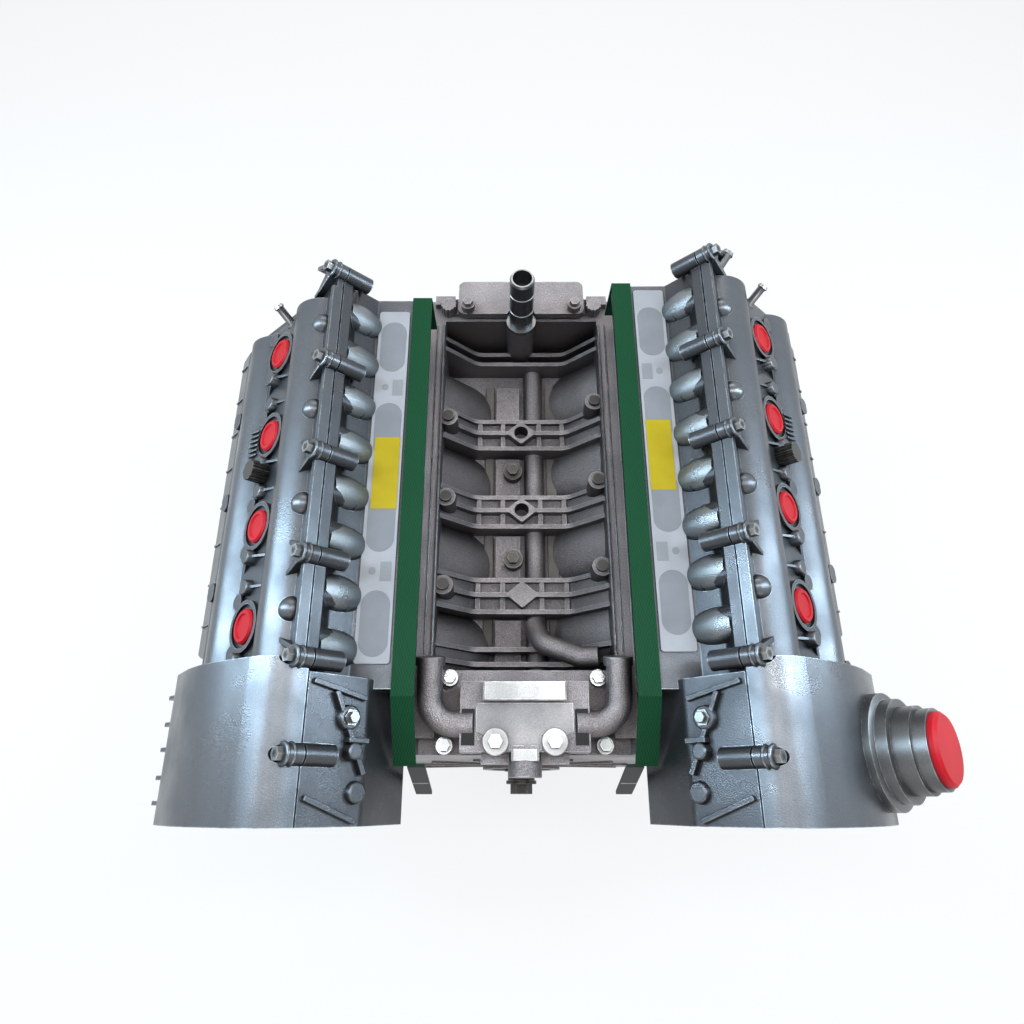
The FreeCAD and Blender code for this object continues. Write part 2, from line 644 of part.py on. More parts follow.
def cam_lobe(x, y, z, tip):
    base = rod(CAM_BASE, (x, y - 7, z), (x, y + 7, z))
    reach = CAM_BASE + CAM_LIFT - 7
    nose = rod(7, (x + reach * math.sin(tip), y - 7, z + reach * math.cos(tip)),
               (x + reach * math.sin(tip), y + 7, z + reach * math.cos(tip)))
    spin = math.asin((CAM_BASE - 7) / reach)
    flank = []
    for a in (-1, 1):
        edge = tip + a * (math.pi / 2 - spin)
        flank.append((x + CAM_BASE * math.sin(edge), z + CAM_BASE * math.cos(edge), 0))
        flank.append((x + reach * math.sin(tip) + 7 * math.sin(edge), z + reach * math.cos(tip) + 7 * math.cos(edge), 0))
    outline = [flank[0], flank[1], flank[3], flank[2]]
    return base.fuse([nose, prism_y(outline, y - 7, y + 7)])


def valves(cam, seat):
    """Valve, spring sleeve and bucket tappet for every valve under one row of cams, both banks."""
    group = []
    ux, uz, length = stem_axis(seat, cam)
    bucket = length - CAM_BASE - CAM_LIFT - 0.5
    for side in SIDES:
        for y in cylinder_y(side):
            for step in (-VALVE_PITCH / 2, VALVE_PITCH / 2):
                start, axis = (seat[0], y + step, seat[1]), (ux, 0, uz)
                valve = turned([(0, 15), (2, 15), (8, VALVE_STEM), (bucket - 4, VALVE_STEM)], start, axis)
                spring = turned([(71, 11), (85, 10)], start, axis)
                spring = spring.cut(rod(VALVE_STEM + 3, start, (start[0] + ux * 120, start[1], start[2] + uz * 120)))
                cup = turned([(bucket - 4, 12), (bucket, 12)], start, axis)
                group += [lean(s, side) for s in (valve, spring, cup)]
    return group


def chain_x(height):
    """How far the chain's pitch line is from the bank axis, between the crank sprocket and the deck."""
    return CRANK_SPROCKET + (CHAIN_WAIST[0] - CRANK_SPROCKET) * height / CHAIN_WAIST[1]


CHAIN_WAIST = (46.0, 215.0)


def chain_loop(side, half):
    """Outline of the chain, offset outward by half: round three sprockets and in at the guide rails."""
    y0, y1 = CHAIN_Y[side] - 4, CHAIN_Y[side] + 4
    wide, waist = CAM_SPROCKET + half, CHAIN_WAIST[0] + half
    left, right = INTAKE_CAM[0], EXHAUST_CAM[0]
    top = INTAKE_CAM[1]
    discs = [rod(CRANK_SPROCKET + half, (0, y0, 0), (0, y1, 0))]
    discs += [rod(wide, (x, y0, top), (x, y1, top)) for x in (left, right)]
    outline = [(-CRANK_SPROCKET - half, 0, 0), (-waist, CHAIN_WAIST[1], 0), (left - wide, top, 0), (left, top, 0),
               (left, top + wide, 0), (right, top + wide, 0), (right, top, 0), (right + wide, top, 0),
               (waist, CHAIN_WAIST[1], 0), (CRANK_SPROCKET + half, 0, 0)]
    return fuse(discs + [prism_y(outline, y0, y1)])


def timing_chains():
    chains = []
    for side in SIDES:
        loop = chain_loop(side, CHAIN_HALF).cut(chain_loop(side, -0.6))
        chains.append(lean(loop, side))
    return chains


def chain_guides():
    """Slide rail and tensioner rail outside each chain, along its lower runs."""
    rails = []
    for side in SIDES:
        y = CHAIN_Y[side]
        for a in (-1, 1):
            near, far = [(a * (chain_x(h) + gap), h, 0) for h, gap in ((60, 4.6), (180, 4.6))], []
            far = [(a * (chain_x(h) + gap), h, 0) for h, gap in ((180, 11), (120, 14), (60, 11))]
            rails.append(lean(prism_y(near + far, y - 6, y + 6), side))
    return rails


PUMP_RADIUS = 58.0


def oil_pump():
    """Flat crank-driven pump, let into the back of the timing cover round the crank's nose."""
    return tube(PUMP_RADIUS, 20.6, (0, CASE_FRONT_Y - 7.5, 0), (0, CASE_FRONT_Y, 0))


# ---------------------------------------------------------------- cam covers
FORK_Y = {"left": (-55, -164, -264, -365, -457, -534), "right": (-34, -139, -241, -346, -456, -536)}
BARREL_BACK_Y = -457.0
COVER_FRONT_Y = -588.0
COVER_WALL = 4.0
PLUG_SEAT = 374.0


def cam_cover(side):
    rear = COVER_REAR[side]
    lobes = [rod(33, (-50, BARREL_BACK_Y - 10, 352), (-50, rear, 352)),
             rod(35, (50, BARREL_BACK_Y - 10, 348), (50, rear, 348)),
             box(-50, 50, BARREL_BACK_Y - 10, rear, 352, 373)]
    barrel = prism_y([(-103, 340, 0), (-103, 395, 40), (-2, 416, 200), (99, 395, 40), (99, 340, 0)],
                     COVER_FRONT_Y, BARREL_BACK_Y)
    ridge = box(-95, -90.5, BARREL_BACK_Y - 2, rear + 6, 360, 374)
    flange = box(-95, 91, BARREL_BACK_Y - 2, rear + 6, 340, 370)
    tail = prism_z([(-95, rear - 2, 0), (-95, FORK_Y[side][0] + 14, 10), (-70, FORK_Y[side][0] + 14, 10),
                    (-40, rear + 4, 10), (0, rear + 4, 0), (0, rear - 2, 0)], 340, 370)
    solid = [barrel, flange, ridge, tail] + lobes
    for y in FORK_Y[side]:
        solid += fork_boss(y)
    for y in cylinder_y(side):
        solid.append(rod(12.5, (-73, y + 5, 355), (-73, y + 5, 368)))
        solid.append(Part.makeSphere(12.5, Vector(-73, y + 5, 368)))
        solid.append(rod(25, (0, y, 350), (0, y, PLUG_SEAT + 3)))
        for across in (-24, 26):
            solid.append(rod(8, (18, y + across, 350), (18, y + across, PLUG_SEAT + 3)))
        solid.append(rod(7, (88, y - 48, 350), (88, y - 48, 374)))
        if y + 46 < rear:
            solid.append(rod(7, (88, y + 46, 350), (88, y + 46, 374)))
    for y in (-475, -500, -523, -548, -570):
        solid.append(box(70, 104, y - 2, y + 2, 345, 392))
    if side == "right":
        solid.append(rod(50, (FILLER[0], FILLER[1], 362), (FILLER[0], FILLER[1], 412)))
    body = fuse(solid).common(box(-120, 120, COVER_FRONT_Y, 0, COVER_JOINT + 1.5, 500))
    inner = [rod(29, (-50, BARREL_BACK_Y - 12, 352), (-50, rear - 4, 352)),
             rod(31, (50, BARREL_BACK_Y - 12, 348), (50, rear - 4, 348)),
             box(-55, 50, BARREL_BACK_Y - 12, rear - 4, 340, 369),
             prism_y([(-98.6, 330, 0), (-98.6, 390.5, 36), (-2, 411.5, 196), (94.6, 390.5, 36), (94.6, 330, 0)],
                     COVER_FRONT_Y + 5, BARREL_BACK_Y - 6)]
    cuts = []
    wells = []
    for y in cylinder_y(side):
        wells.append(tube(22, 17.05, (0, y, COVER_JOINT + 1.5), (0, y, 373)))
        cuts.append(rod(17.05, (0, y, 340), (0, y, PLUG_SEAT + 10)))
        cuts.append(rod(21, (0, y, PLUG_SEAT), (0, y, PLUG_SEAT + 10)))
    for y in FORK_Y[side]:
        x = fork_x(y)
        cuts.append(rod(3.6, (x, y, 340), (x, y, 400)))
        cuts.append(rod(7.7, (x, y, 378), (x, y, 420)))
    if side == "right":
        cuts.append(rod(24, (FILLER[0], FILLER[1], 360), (FILLER[0], FILLER[1], 430)))
    body = body.cut(inner).fuse(wells).cut(cuts).removeSplitter()
    return lean(body, side)


def fork_boss(y):
    """Screw boss on the inboard flange with two webs that run down from the lobe on either side of it."""
    x = fork_x(y)
    pieces = [rod(9, (x, y, 350), (x, y, 378))]
    for a in (-1, 1):
        web = prism_z([(x, y + a * 4, 0), (x, y + a * 8, 0), (x + 29, y + a * 17, 0), (x + 29, y + a * 13, 0)], 350, 376)
        pieces.append(web)
    return pieces


def fork_x(y):
    """The two front screws stand further inboard, clear of the phaser housing."""
    return -95.0 if y > BARREL_BACK_Y + 5 else -102.0


FILLER = (42.0, -528.0)


def gasket_ring(side):
    """Moulded seal in the joint between head and cover."""
    ring = []
    rear = COVER_REAR[side]
    outer = prism_z([(-91, rear, 4), (87, rear, 4), (87, -462, 0), (98, -462, 0), (98, HEAD_FRONT_Y, 0),
                     (-102, HEAD_FRONT_Y, 0), (-102, -462, 0), (-91, -462, 0)], COVER_JOINT, COVER_JOINT + 1.5)
    inner = prism_z([(-85, rear - 4, 4), (81, rear - 4, 4), (81, -470, 0), (94.6, -470, 0), (94.6, HEAD_FRONT_Y + 5, 0),
                     (-98.6, HEAD_FRONT_Y + 5, 0), (-98.6, -470, 0), (-85, -470, 0)], COVER_JOINT - 1, COVER_JOINT + 2)
    return lean(outer.cut(inner), side)


def cam_cover_gaskets():
    return [gasket_ring(side) for side in SIDES]


def cam_cover_bolts():
    bolts = []
    for side in SIDES:
        for y in FORK_Y[side]:
            x = fork_x(y)
            bolt = fuse([rod(3.5, (x, y, 364), (x, y, 378)), rod(7.5, (x, y, 378), (x, y, 379.5)),
                         prism_z(hexagon(6, x, y), 379.5, 386)])
            bolts.append(lean(bolt, side))
    return bolts


def coil_well_plugs():
    """Moulded transit plug in every spark plug well: a round stub with a dished top."""
    plugs = []
    for side in SIDES:
        for y in cylinder_y(side):
            profile = [(0, 16.9), (14, 16.9), (16, 15), (16, 12), (14.5, 11)]
            plugs.append(lean(turned(profile, (0, y, PLUG_SEAT - 12), (0, 0, 1)), side))
    return plugs


def spark_plugs():
    plugs = []
    for side in SIDES:
        for y in cylinder_y(side):
            plug = turned([(-4, 2), (0, 2), (0, 5.95), (25, 5.95), (25, 9), (36, 9), (36, 5), (78, 4.5), (82, 2)],
                          (0, y, 235), (0, 0, 1))
            plugs.append(lean(plug, side))
    return plugs


def oil_filler_neck():
    x, y = FILLER
    neck = turned([(0, 23.9), (6, 23.9), (6, 50), (12, 50), (14, 44), (24, 44), (24, 37), (40, 37), (40, 34), (52, 34)],
                  (x, y, 406), (0, 0, 1))
    return lean(neck.cut(rod(20, (x, y, 396), (x, y, 462))), "right")


def oil_filler_plug():
    x, y = FILLER
    plug = turned([(0, 19.9), (14, 19.9), (14, 31), (18, 31), (21, 28)], (x, y, 444), (0, 0, 1))
    return lean(plug, "right")


# ---------------------------------------------------------------- joint faces and outside pieces
def head_gaskets():
    sheets = []
    for side in SIDES:
        sheet = box(-64, 68, CASE_FRONT_Y + 2, HEAD_REAR[side] - 4, DECK, DECK + HEAD_GASKET)
        cuts = [rod(BORE_RADIUS + 1, (0, y, DECK - 1), (0, y, DECK + 3)) for y in cylinder_y(side)]
        cuts.append(box(-55, 59, CASE_FRONT_Y - 1, CHEST_BACK_Y, DECK - 1, DECK + 3))
        sheets.append(lean(sheet.cut(cuts), side))
    return sheets


FILM_Y = {"left": (-72.0, -454.0), "right": (-43.0, -443.0)}
SHELF_X = (124.0, 157.0)


def port_ovals(side, low, high, across, along):
    ovals = []
    for mid in cylinder_y(side):
        half = (along - across) / 2
        ovals += [rod(across / 2, (PORT_X, mid + a * half, low), (PORT_X, mid + a * half, high)) for a in (-1, 1)]
        ovals.append(box(PORT_X - across / 2, PORT_X + across / 2, mid - half, mid + half, low, high))
    return ovals


def intake_gaskets():
    strips = []
    for side in SIDES:
        y1, y0 = FILM_Y[side]
        x0, x1 = SHELF_X
        strip = prism_z([(x0 + 1, y0 + 4, 8), (x1 - 1, y0 + 4, 8), (x1 - 1, y1 - 4, 8), (x0 + 1, y1 - 4, 8)],
                        SHELF_Z, SHELF_Z + 1.2)
        strips.append(flip(strip.cut(port_ovals(side, SHELF_Z - 1, SHELF_Z + 3, 26, 56)), side))
    return strips


def port_films():
    """Film over the ports of each head, with a plain sticker."""
    films = []
    for side in SIDES:
        y1, y0 = FILM_Y[side]
        x0, x1 = SHELF_X
        film = prism_z([(x0, y0, 3), (x1, y0, 3), (x1, y1, 3), (x0, y1, 3)], SHELF_Z + 1.2, SHELF_Z + 2.0)
        middle = -265 if side == "left" else -245
        label = box(126.5, 151.5, middle - 38, middle + 38, SHELF_Z + 2.0, SHELF_Z + 2.3)
        films += [flip(film, side), flip(label, side)]
    return films


def pan_ring(z, half_width, front, rear):
    corners = [(-half_width, front, 22), (half_width, front, 22), (half_width, rear, 22), (-half_width, rear, 22)]
    return rounded_wire(corners, lambda p: Vector(p.x, p.y, z))


def oil_pan():
    top = [(-142, CASE_FRONT_Y, 8), (142, CASE_FRONT_Y, 8), (142, -22, 8), (-142, -22, 8)]
    rim = prism_z(top, -BEDPLATE_DEPTH - 10, -BEDPLATE_DEPTH)
    outer = Part.makeLoft([pan_ring(-BEDPLATE_DEPTH - 4, 134, CASE_FRONT_Y + 6, -28),
                           pan_ring(SUMP_FLOOR_Z, 112, PAN_FRONT_Y, -60)], True, True)
    inner = Part.makeLoft([pan_ring(-BEDPLATE_DEPTH + 1, 130, CASE_FRONT_Y + 10, -32),
                           pan_ring(SUMP_FLOOR_Z + 5, 107, PAN_FRONT_Y + 5, -65)], True, True)
    ribs = []
    for y in (-140, -220, -300, -380, -440):
        ribs.append(box(-120, 120, y - 2.5, y + 2.5, SUMP_FLOOR_Z + 0.5, SUMP_FLOOR_Z + 40))
    boss = rod(16, (0, PAN_FRONT_Y + 10, DRAIN_Z), (0, PAN_FRONT_Y - 14, DRAIN_Z))
    body = fuse([rim, outer, boss] + ribs).cut(inner)
    return body.cut(rod(8, (0, PAN_FRONT_Y + 20, DRAIN_Z), (0, PAN_FRONT_Y - 40, DRAIN_Z)))


PAN_FRONT_Y = -470.0
DRAIN_Z = SUMP_FLOOR_Z + 22


def oil_drain_plug():
    head = PAN_FRONT_Y - 14
    bolt = rod(7.9, (0, head + 29, DRAIN_Z), (0, head, DRAIN_Z)).fuse(rod(12, (0, head, DRAIN_Z), (0, head - 2, DRAIN_Z)))
    return fuse([bolt, prism_y(hexagon(10, 0, DRAIN_Z), head - 10, head - 2)])


def timing_cover():
    """Flat cover over the chest between the decks, with ribs, the seal boss and a pocket for the oil pump."""
    back, front = CASE_FRONT_Y, CASE_FRONT_Y - FRONT_COVER_THICK
    inner, outer = in_world(-66, DECK - 2), in_world(70, DECK - 2)
    skirt = in_world(70, 118)
    right = [(104, CHEST_TOP, 0), (inner[0], inner[1], 0), (outer[0], outer[1], 0), (*skirt, 25), (142, 12, 6),
             (142, -BEDPLATE_DEPTH, 0)]
    body = prism_y(right + [(-x, z, r) for x, z, r in reversed(right)], front, back)
    ribs = []
    for angle in (-20, 10, 38, 66, 90, 114, 142, 170, 200):
        spoke = box(40, 126, front - 2.2, front + 4, -2.5, 2.5)
        spoke.rotate(ORIGIN, Y_AXIS, -angle)
        ribs.append(spoke)
    hub = rod(46, (0, front - 6, 0), (0, back, 0))
    pocket = rod(PUMP_RADIUS + 0.3, (0, back - 8, 0), (0, back + 5, 0))
    return fuse([body, hub] + ribs).cut([rod(36, (0, front - 20, 0), (0, front + 6, 0)),
                                         rod(22, (0, front - 20, 0), (0, back + 5, 0)), pocket])


def crank_seals():
    front = tube(36, 20.05, (0, CASE_FRONT_Y - 20, 0), (0, CASE_FRONT_Y - 10, 0))
    rear = tube(SEAL_RADIUS, 46.1, (0, -8, 0), (0, -1.5, 0)).cut(rod(46.1, (0, -10, 0), (0, 0, 0)))
    return [front, rear]


def coolant_manifold():
    """Crossover housing between the banks, with two curved arms to the heads and a short neck."""
    body = box(-62, 62, -526, -461, CHEST_TOP, 222)
    for a in (-1, 1):
        body = body.cut(box(a * 62 - 24, a * 62 + 24, -515, -480, 196, 214))
    arms = []
    for a in (-1, 1):
        arms.append(pipe(12.5, [(a * 50, -500, 214), (a * 92, -500, 214), (a * 92, -440, 228)], 24))
        arms.append(rod(14.5, (a * 92, -446, 223), (a * 92, -438, 225)))
        arms.append(rod(9, (a * 28, -517, 205), (a * 28, -517, 226)))
        arms.append(box(a * 28 - 14, a * 28 + 14, -536, -517, CHEST_TOP, 212))
    ridge = box(-40, 40, -480, -462, 215, 229)
    neck = rod(16, (0, -548, 208), (0, -520, 208))
    tab = box(-13, 13, -534, -520, 205, 224)
    return fuse([body, ridge, neck, tab] + arms)


def manifold_bolts():
    bolts = []
    for x, y, z in ((-28, -517, 226), (28, -517, 226)):
        bolts.append(fuse([rod(10, (x, y, z), (x, y, z + 1.5)), prism_z(hexagon(7, x, y), z + 1.5, z + 8)]))
    for a in (-1, 1):
        for x, y in ((74, -455), (78, -519)):
            bolts.append(fuse([rod(8, (a * x, y, CHEST_TOP), (a * x, y, 203)),
                               prism_z(hexagon(6, a * x, y), 203, 209)]))
    return bolts


def rear_coolant_plate():
    plate = prism_z([(-76, -27, 8), (76, -27, 8), (76, 20, 8), (-76, 20, 8)], RAIL_TOP + 4, RAIL_TOP + 12)
    plate = plate.cut(rod(18.5, (0, HOSE_Y, 190), (0, HOSE_Y, 220)))
    screws = []
    for a in (-1, 1):
        plate = plate.fuse(rod(8, (a * 64, -19, 208), (a * 64, -19, 222)))
        screws.append(prism_z(hexagon(6, a * 64, -19), 222, 228))
    return [plate.removeSplitter()] + screws


def rear_hose_stub():
    stub = turned([(0, 13.8), (35, 13.8), (35, 17.5), (42, 17.5), (42, 14), (122, 14), (125, 12.5)],
                  (0, HOSE_Y, 165), (0, 0, 1))
    return stub.cut(rod(11, (0, HOSE_Y, 164), (0, HOSE_Y, 300)))


def valley_pipe():
    return pipe(11, [(12, -392, 150), (20, -414, 168), (60, -430, 176), (78, -430, 180)], 12)


def knock_sensors():
    sensors = []
    for y in (-202, -312):
        sensors.append(fuse([rod(11, (-10, y, VALLEY_FLOOR + 9), (-10, y, 137)), prism_z(hexagon(7, -10, y), 137, 144)]))
    for y in MAIN_Y[1:4]:
        for x, step in ((-BOSS_X, 0.0), (BOSS_X, RIB_GAP + 2)):
            sensors.append(fuse([rod(4.4, (x, y + step, 175), (x, y + step, 193)),
                                 rod(6.4, (x, y + step, 193), (x, y + step, 198))]))
    return sensors


def exhaust_manifold(side):
    """Log manifold: four stubs into one collecting tube that turns down at the rear."""
    solid = []
    for y in cylinder_y(side):
        solid.append(pipe(18, [(90.5, y, 265), (112, y, 270), (140, y, 240)], 16))
        solid.append(prism_x([(y - 38, 246, 10), (y + 38, 246, 10), (y + 38, 284, 10), (y - 38, 284, 10)], 86.5, 94))
    back = cylinder_y(side)[0]
    front = cylinder_y(side)[3] - 24
    solid.append(pipe(23, [(140, front, 236), (140, back + 20, 236), (180, back + 40, 180)], 34))
    body = fuse(solid)
    return lean(body, side)


SHIELD = ((298, 152), (350, 130), (365, 112), (369, 40))
SHIELD_THICK = 1.6


def sheet_run(path, thick):
    """Outline of a folded sheet of even thickness along a path of (x, z) points, thickened inward."""
    inner = []
    for n, (x, z) in enumerate(path):
        ahead = path[min(n + 1, len(path) - 1)]
        behind = path[max(n - 1, 0)]
        dx, dz = ahead[0] - behind[0], ahead[1] - behind[1]
        length = math.hypot(dx, dz)
        inner.append((x + dz / length * thick, z - dx / length * thick, 0))
    return [(x, z, 0) for x, z in path] + inner[::-1]


def heat_shields():
    """Pressed sheet over each exhaust manifold: a sloping top with short beads, folded down outside it."""
    shields = []
    for side in SIDES:
        y0, y1 = (-425, -28) if side == "left" else (-402, -8)
        sheet = prism_y(sheet_run(SHIELD, SHIELD_THICK), y0, y1)
        plan = prism_z([(280, y0, 0), (372, y0, 26), (372, y1, 26), (280, y1, 0)], 30, 170)
        beads = []
        for n in range(8):
            y = y0 + 28 + n * 48
            raised = [(x, z + 2.2) for x, z in SHIELD[:2]]
            beads.append(prism_y(sheet_run(raised, 2.6), y - 2, y + 2))
        struts = [rod(5, (289.4, y, 70), (362, y, 78)) for y in (y0 + 90, y1 - 90)]
        shields.append(flip(fuse([sheet.common(plan)] + beads + struts), side))
    return shields


def oil_pickup():
    stem = pipe(9, [(-85, -337, -50), (-85, -337, -140), (-50, -400, -150), (-50, -400, -176)], 20)
    bell = turned([(0, 9), (8, 30), (14, 30)], (-50, -400, -176), (0, 0, -1))
    return fuse([stem, bell])


STRAP_RUN = (100.5, 121.5)
STRAP_TAIL = (93.0, 108.0)
STRAP_THICK = 2.0


def transport_straps():
    """Flat webbing along the port shelf of each head, down behind it, and a free tail in front of the case."""
    straps = []
    level = SHELF_Z + STRAP_THICK / 2 + 0.1
    for side in SIDES:
        rear = HEAD_REAR[side]
        path = [(rear + 6, 214), (rear + 2, level), (CHEST_BACK_Y - 2, level), (-538, 236), (-560, 150)]
        runs = []
        for (ya, za), (yb, zb) in zip(path, path[1:]):
            length = math.hypot(yb - ya, zb - za)
            ny, nz = -(zb - za) / length, (yb - ya) / length
            half = STRAP_THICK / 2
            x0, x1 = STRAP_TAIL if zb == 150 else STRAP_RUN
            runs.append(prism_x([(ya + ny * half, za + nz * half, 0), (yb + ny * half, zb + nz * half, 0),
                                 (yb - ny * half, zb - nz * half, 0), (ya - ny * half, za - nz * half, 0)], x0, x1))
        runs += [rod(STRAP_THICK / 2, (STRAP_RUN[0], y, z), (STRAP_RUN[1], y, z)) for y, z in path[1:-1]]
        runs.append(rod(STRAP_THICK / 2, (STRAP_TAIL[0], *path[-2]), (STRAP_RUN[1], *path[-2])))
        straps.append(flip(fuse(runs), side))
    return straps


if __name__ == "__main__":
    os.makedirs("parts", exist_ok=True)
    save("engine_block", engine_block())
    save("cylinder_liners", cylinder_liners())
    save("bedplate", bedplate())
    save("main_bearings", main_bearings())
    save("crankshaft", crankshaft())
    save("crank_bolt", crank_bolt())
    save("flexplate", flexplate())
    for number in range(8):
        bank, k = SIDES[number // 4], 3 - number % 4
        save(f"piston_{number + 1}", piston(bank, k))
        save(f"connecting_rod_{number + 1}", connecting_rod(bank, k))
    for bank in SIDES:
        save(f"cylinder_head_{bank}", cylinder_head(bank))
        save(f"cam_cover_{bank}", cam_cover(bank))
        save(f"exhaust_manifold_{bank}", exhaust_manifold(bank))
        save(f"intake_camshaft_{bank}", camshaft(bank, INTAKE_CAM))
        save(f"exhaust_camshaft_{bank}", camshaft(bank, EXHAUST_CAM))
    save("intake_valves", valves(INTAKE_CAM, INTAKE_SEAT))
    save("exhaust_valves", valves(EXHAUST_CAM, EXHAUST_SEAT))
    for piece in (timing_chains, chain_guides, cam_cover_gaskets, cam_cover_bolts, coil_well_plugs, spark_plugs,
                  oil_filler_neck, oil_filler_plug, head_gaskets, intake_gaskets, port_films, oil_pan,
                  oil_drain_plug, oil_pump, timing_cover, crank_seals, coolant_manifold, manifold_bolts,
                  rear_coolant_plate, rear_hose_stub, valley_pipe, knock_sensors, heat_shields, oil_pickup,
                  transport_straps):
        save(piece.__name__, piece())
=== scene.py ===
"""Looks of a ninety-degree V8 engine: castings, transit covers, films and straps, laid over its solids.

Lengths are metres in the solids' frame: crankshaft along Y, timing end towards -Y, +Z up.
In bank coordinates o runs outboard, y along the crank and h up the bore; a bank leans 45 degrees.
"""
import bmesh
import bpy
import json
import math
import numpy as np
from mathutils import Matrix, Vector


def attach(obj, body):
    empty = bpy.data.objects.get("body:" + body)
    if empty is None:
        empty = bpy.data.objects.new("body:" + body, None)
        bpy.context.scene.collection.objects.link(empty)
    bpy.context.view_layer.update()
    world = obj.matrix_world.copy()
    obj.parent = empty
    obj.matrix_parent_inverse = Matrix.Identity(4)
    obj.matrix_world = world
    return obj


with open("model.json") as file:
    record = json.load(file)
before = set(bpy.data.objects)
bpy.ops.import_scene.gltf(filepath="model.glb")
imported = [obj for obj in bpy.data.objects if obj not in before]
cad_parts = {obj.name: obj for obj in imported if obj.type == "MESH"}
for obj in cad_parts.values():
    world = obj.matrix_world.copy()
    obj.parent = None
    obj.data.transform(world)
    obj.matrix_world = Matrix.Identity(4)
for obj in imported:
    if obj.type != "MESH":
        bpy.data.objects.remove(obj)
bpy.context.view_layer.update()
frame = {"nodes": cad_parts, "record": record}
NODES = frame["nodes"]
R2 = math.sqrt(0.5)

# ------------------------------------------------------------------ engine dimensions
PITCH = 0.100                           # from bore to bore
CYL_Y = {"left": [-0.117 - PITCH * k for k in range(4)], "right": [-0.097 - PITCH * k for k in range(4)]}
SIGN = {"left": -1.0, "right": 1.0}
FORK_Y = {"left": (-.055, -.164, -.264, -.365, -.457, -.534), "right": (-.034, -.139, -.241, -.346, -.456, -.536)}
PHASER_Y = -0.452                       # the cam phaser housing starts here
TROUGH_O, TROUGH_H = 0.004, 0.368       # centre line and floor of the trough between a cover's lobes
COVER_BASE = 0.366                      # height on the bore at which ribs of the cover start, inside its wall
FILM_TOP, SHADOW_LAYER = 0.2800, 0.0003        # upper face of the port film, and the thickness of a painted port shadow on it
HEAD_WALL_O = -0.103                    # valley-side wall of a head's timing chamber
CROSSOVER_TOP, SKIN = 0.2218, 0.0008    # top of the coolant crossover, and the thickness of a face on it
SPIGOT = (0, -0.034)                    # upright axis of the rear hose spigot, x and y


# ------------------------------------------------------------------ camera, world and lamps
def set_camera():
    """Looks along +Y and steeply down from above the timing end."""
    data = bpy.data.cameras.new("camera")
    cam = bpy.data.objects.new("camera", data)
    bpy.context.scene.collection.objects.link(cam)
    cam.location = (-0.0172, -0.5705, 0.9922)
    steepness = 66.5
    cam.rotation_euler = (math.radians(90 - steepness), 0, 0)
    data.sensor_width = 36.0
    data.lens = 27.0984375
    data.shift_x = 0.005
    data.shift_y = -0.0424
    data.clip_start = 0.01
    bpy.context.scene.camera = cam


def backdrop_rays(nt):
    """Socket that is one for the rays that see the backdrop as such: camera, glossy and transmission rays."""
    path = nt.nodes.new("ShaderNodeLightPath")
    seen = path.outputs["Is Camera Ray"]
    for ray in ("Is Glossy Ray", "Is Transmission Ray"):
        either = nt.nodes.new("ShaderNodeMath")
        either.operation = "MAXIMUM"
        nt.links.new(seen, either.inputs[0])
        nt.links.new(path.outputs[ray], either.inputs[1])
        seen = either.outputs[0]
    return seen


def set_world():
    """Even grey light; the camera and mirror rays see white."""
    world = bpy.data.worlds.new("studio")
    bpy.context.scene.world = world
    world.use_nodes = True
    nt = world.node_tree
    nt.nodes.clear()
    out = nt.nodes.new("ShaderNodeOutputWorld")
    dim, white = nt.nodes.new("ShaderNodeBackground"), nt.nodes.new("ShaderNodeBackground")
    mix = nt.nodes.new("ShaderNodeMixShader")
    dim.inputs[0].default_value = (0.80, 0.88, 0.95, 1)
    dim.inputs[1].default_value = 0.30
    white.inputs[0].default_value = (1, 1, 1, 1)
    white.inputs[1].default_value = 1.0
    nt.links.new(backdrop_rays(nt), mix.inputs[0])
    nt.links.new(dim.outputs[0], mix.inputs[1])
    nt.links.new(white.outputs[0], mix.inputs[2])
    nt.links.new(mix.outputs[0], out.inputs[0])


def lamp(name, place, aim, size, power, colour=(1, 1, 1)):
    data = bpy.data.lights.new(name, "AREA")
    data.shape = "RECTANGLE"
    data.size, data.size_y = size
    data.energy = power
    data.color = colour
    obj = bpy.data.objects.new(name, data)
    obj.location = place
    obj.rotation_euler = (Vector(aim) - Vector(place)).to_track_quat("-Z", "Y").to_euler()
    bpy.context.scene.collection.objects.link(obj)


bpy.context.scene.view_settings.view_transform = "Standard"
set_camera()
set_world()
lamp("tube_left", (-1.25, -0.15, 1.05), (-0.2, -0.3, 0.2), (0.35, 1.6), 26, (0.62, 0.84, 1.0))
lamp("tube_right", (1.25, -0.15, 1.05), (0.2, -0.3, 0.2), (0.35, 1.6), 23, (0.68, 0.86, 1.0))
lamp("top_left", (-0.45, -0.30, 1.75), (-0.2, -0.3, 0.2), (0.16, 1.3), 6, (1.0, 0.98, 0.96))
lamp("top_right", (0.45, -0.30, 1.75), (0.2, -0.3, 0.2), (0.16, 1.3), 6, (1.0, 0.98, 0.96))
lamp("tube_rear", (0.0, 1.2, 1.4), (0, -0.2, 0.2), (1.6, 0.4), 8, (1.0, 0.98, 0.95))
lamp("front_fill", (0.0, -1.9, 1.0), (0, -0.3, 0.1), (1.4, 0.6), 6, (1.0, 0.98, 0.95))


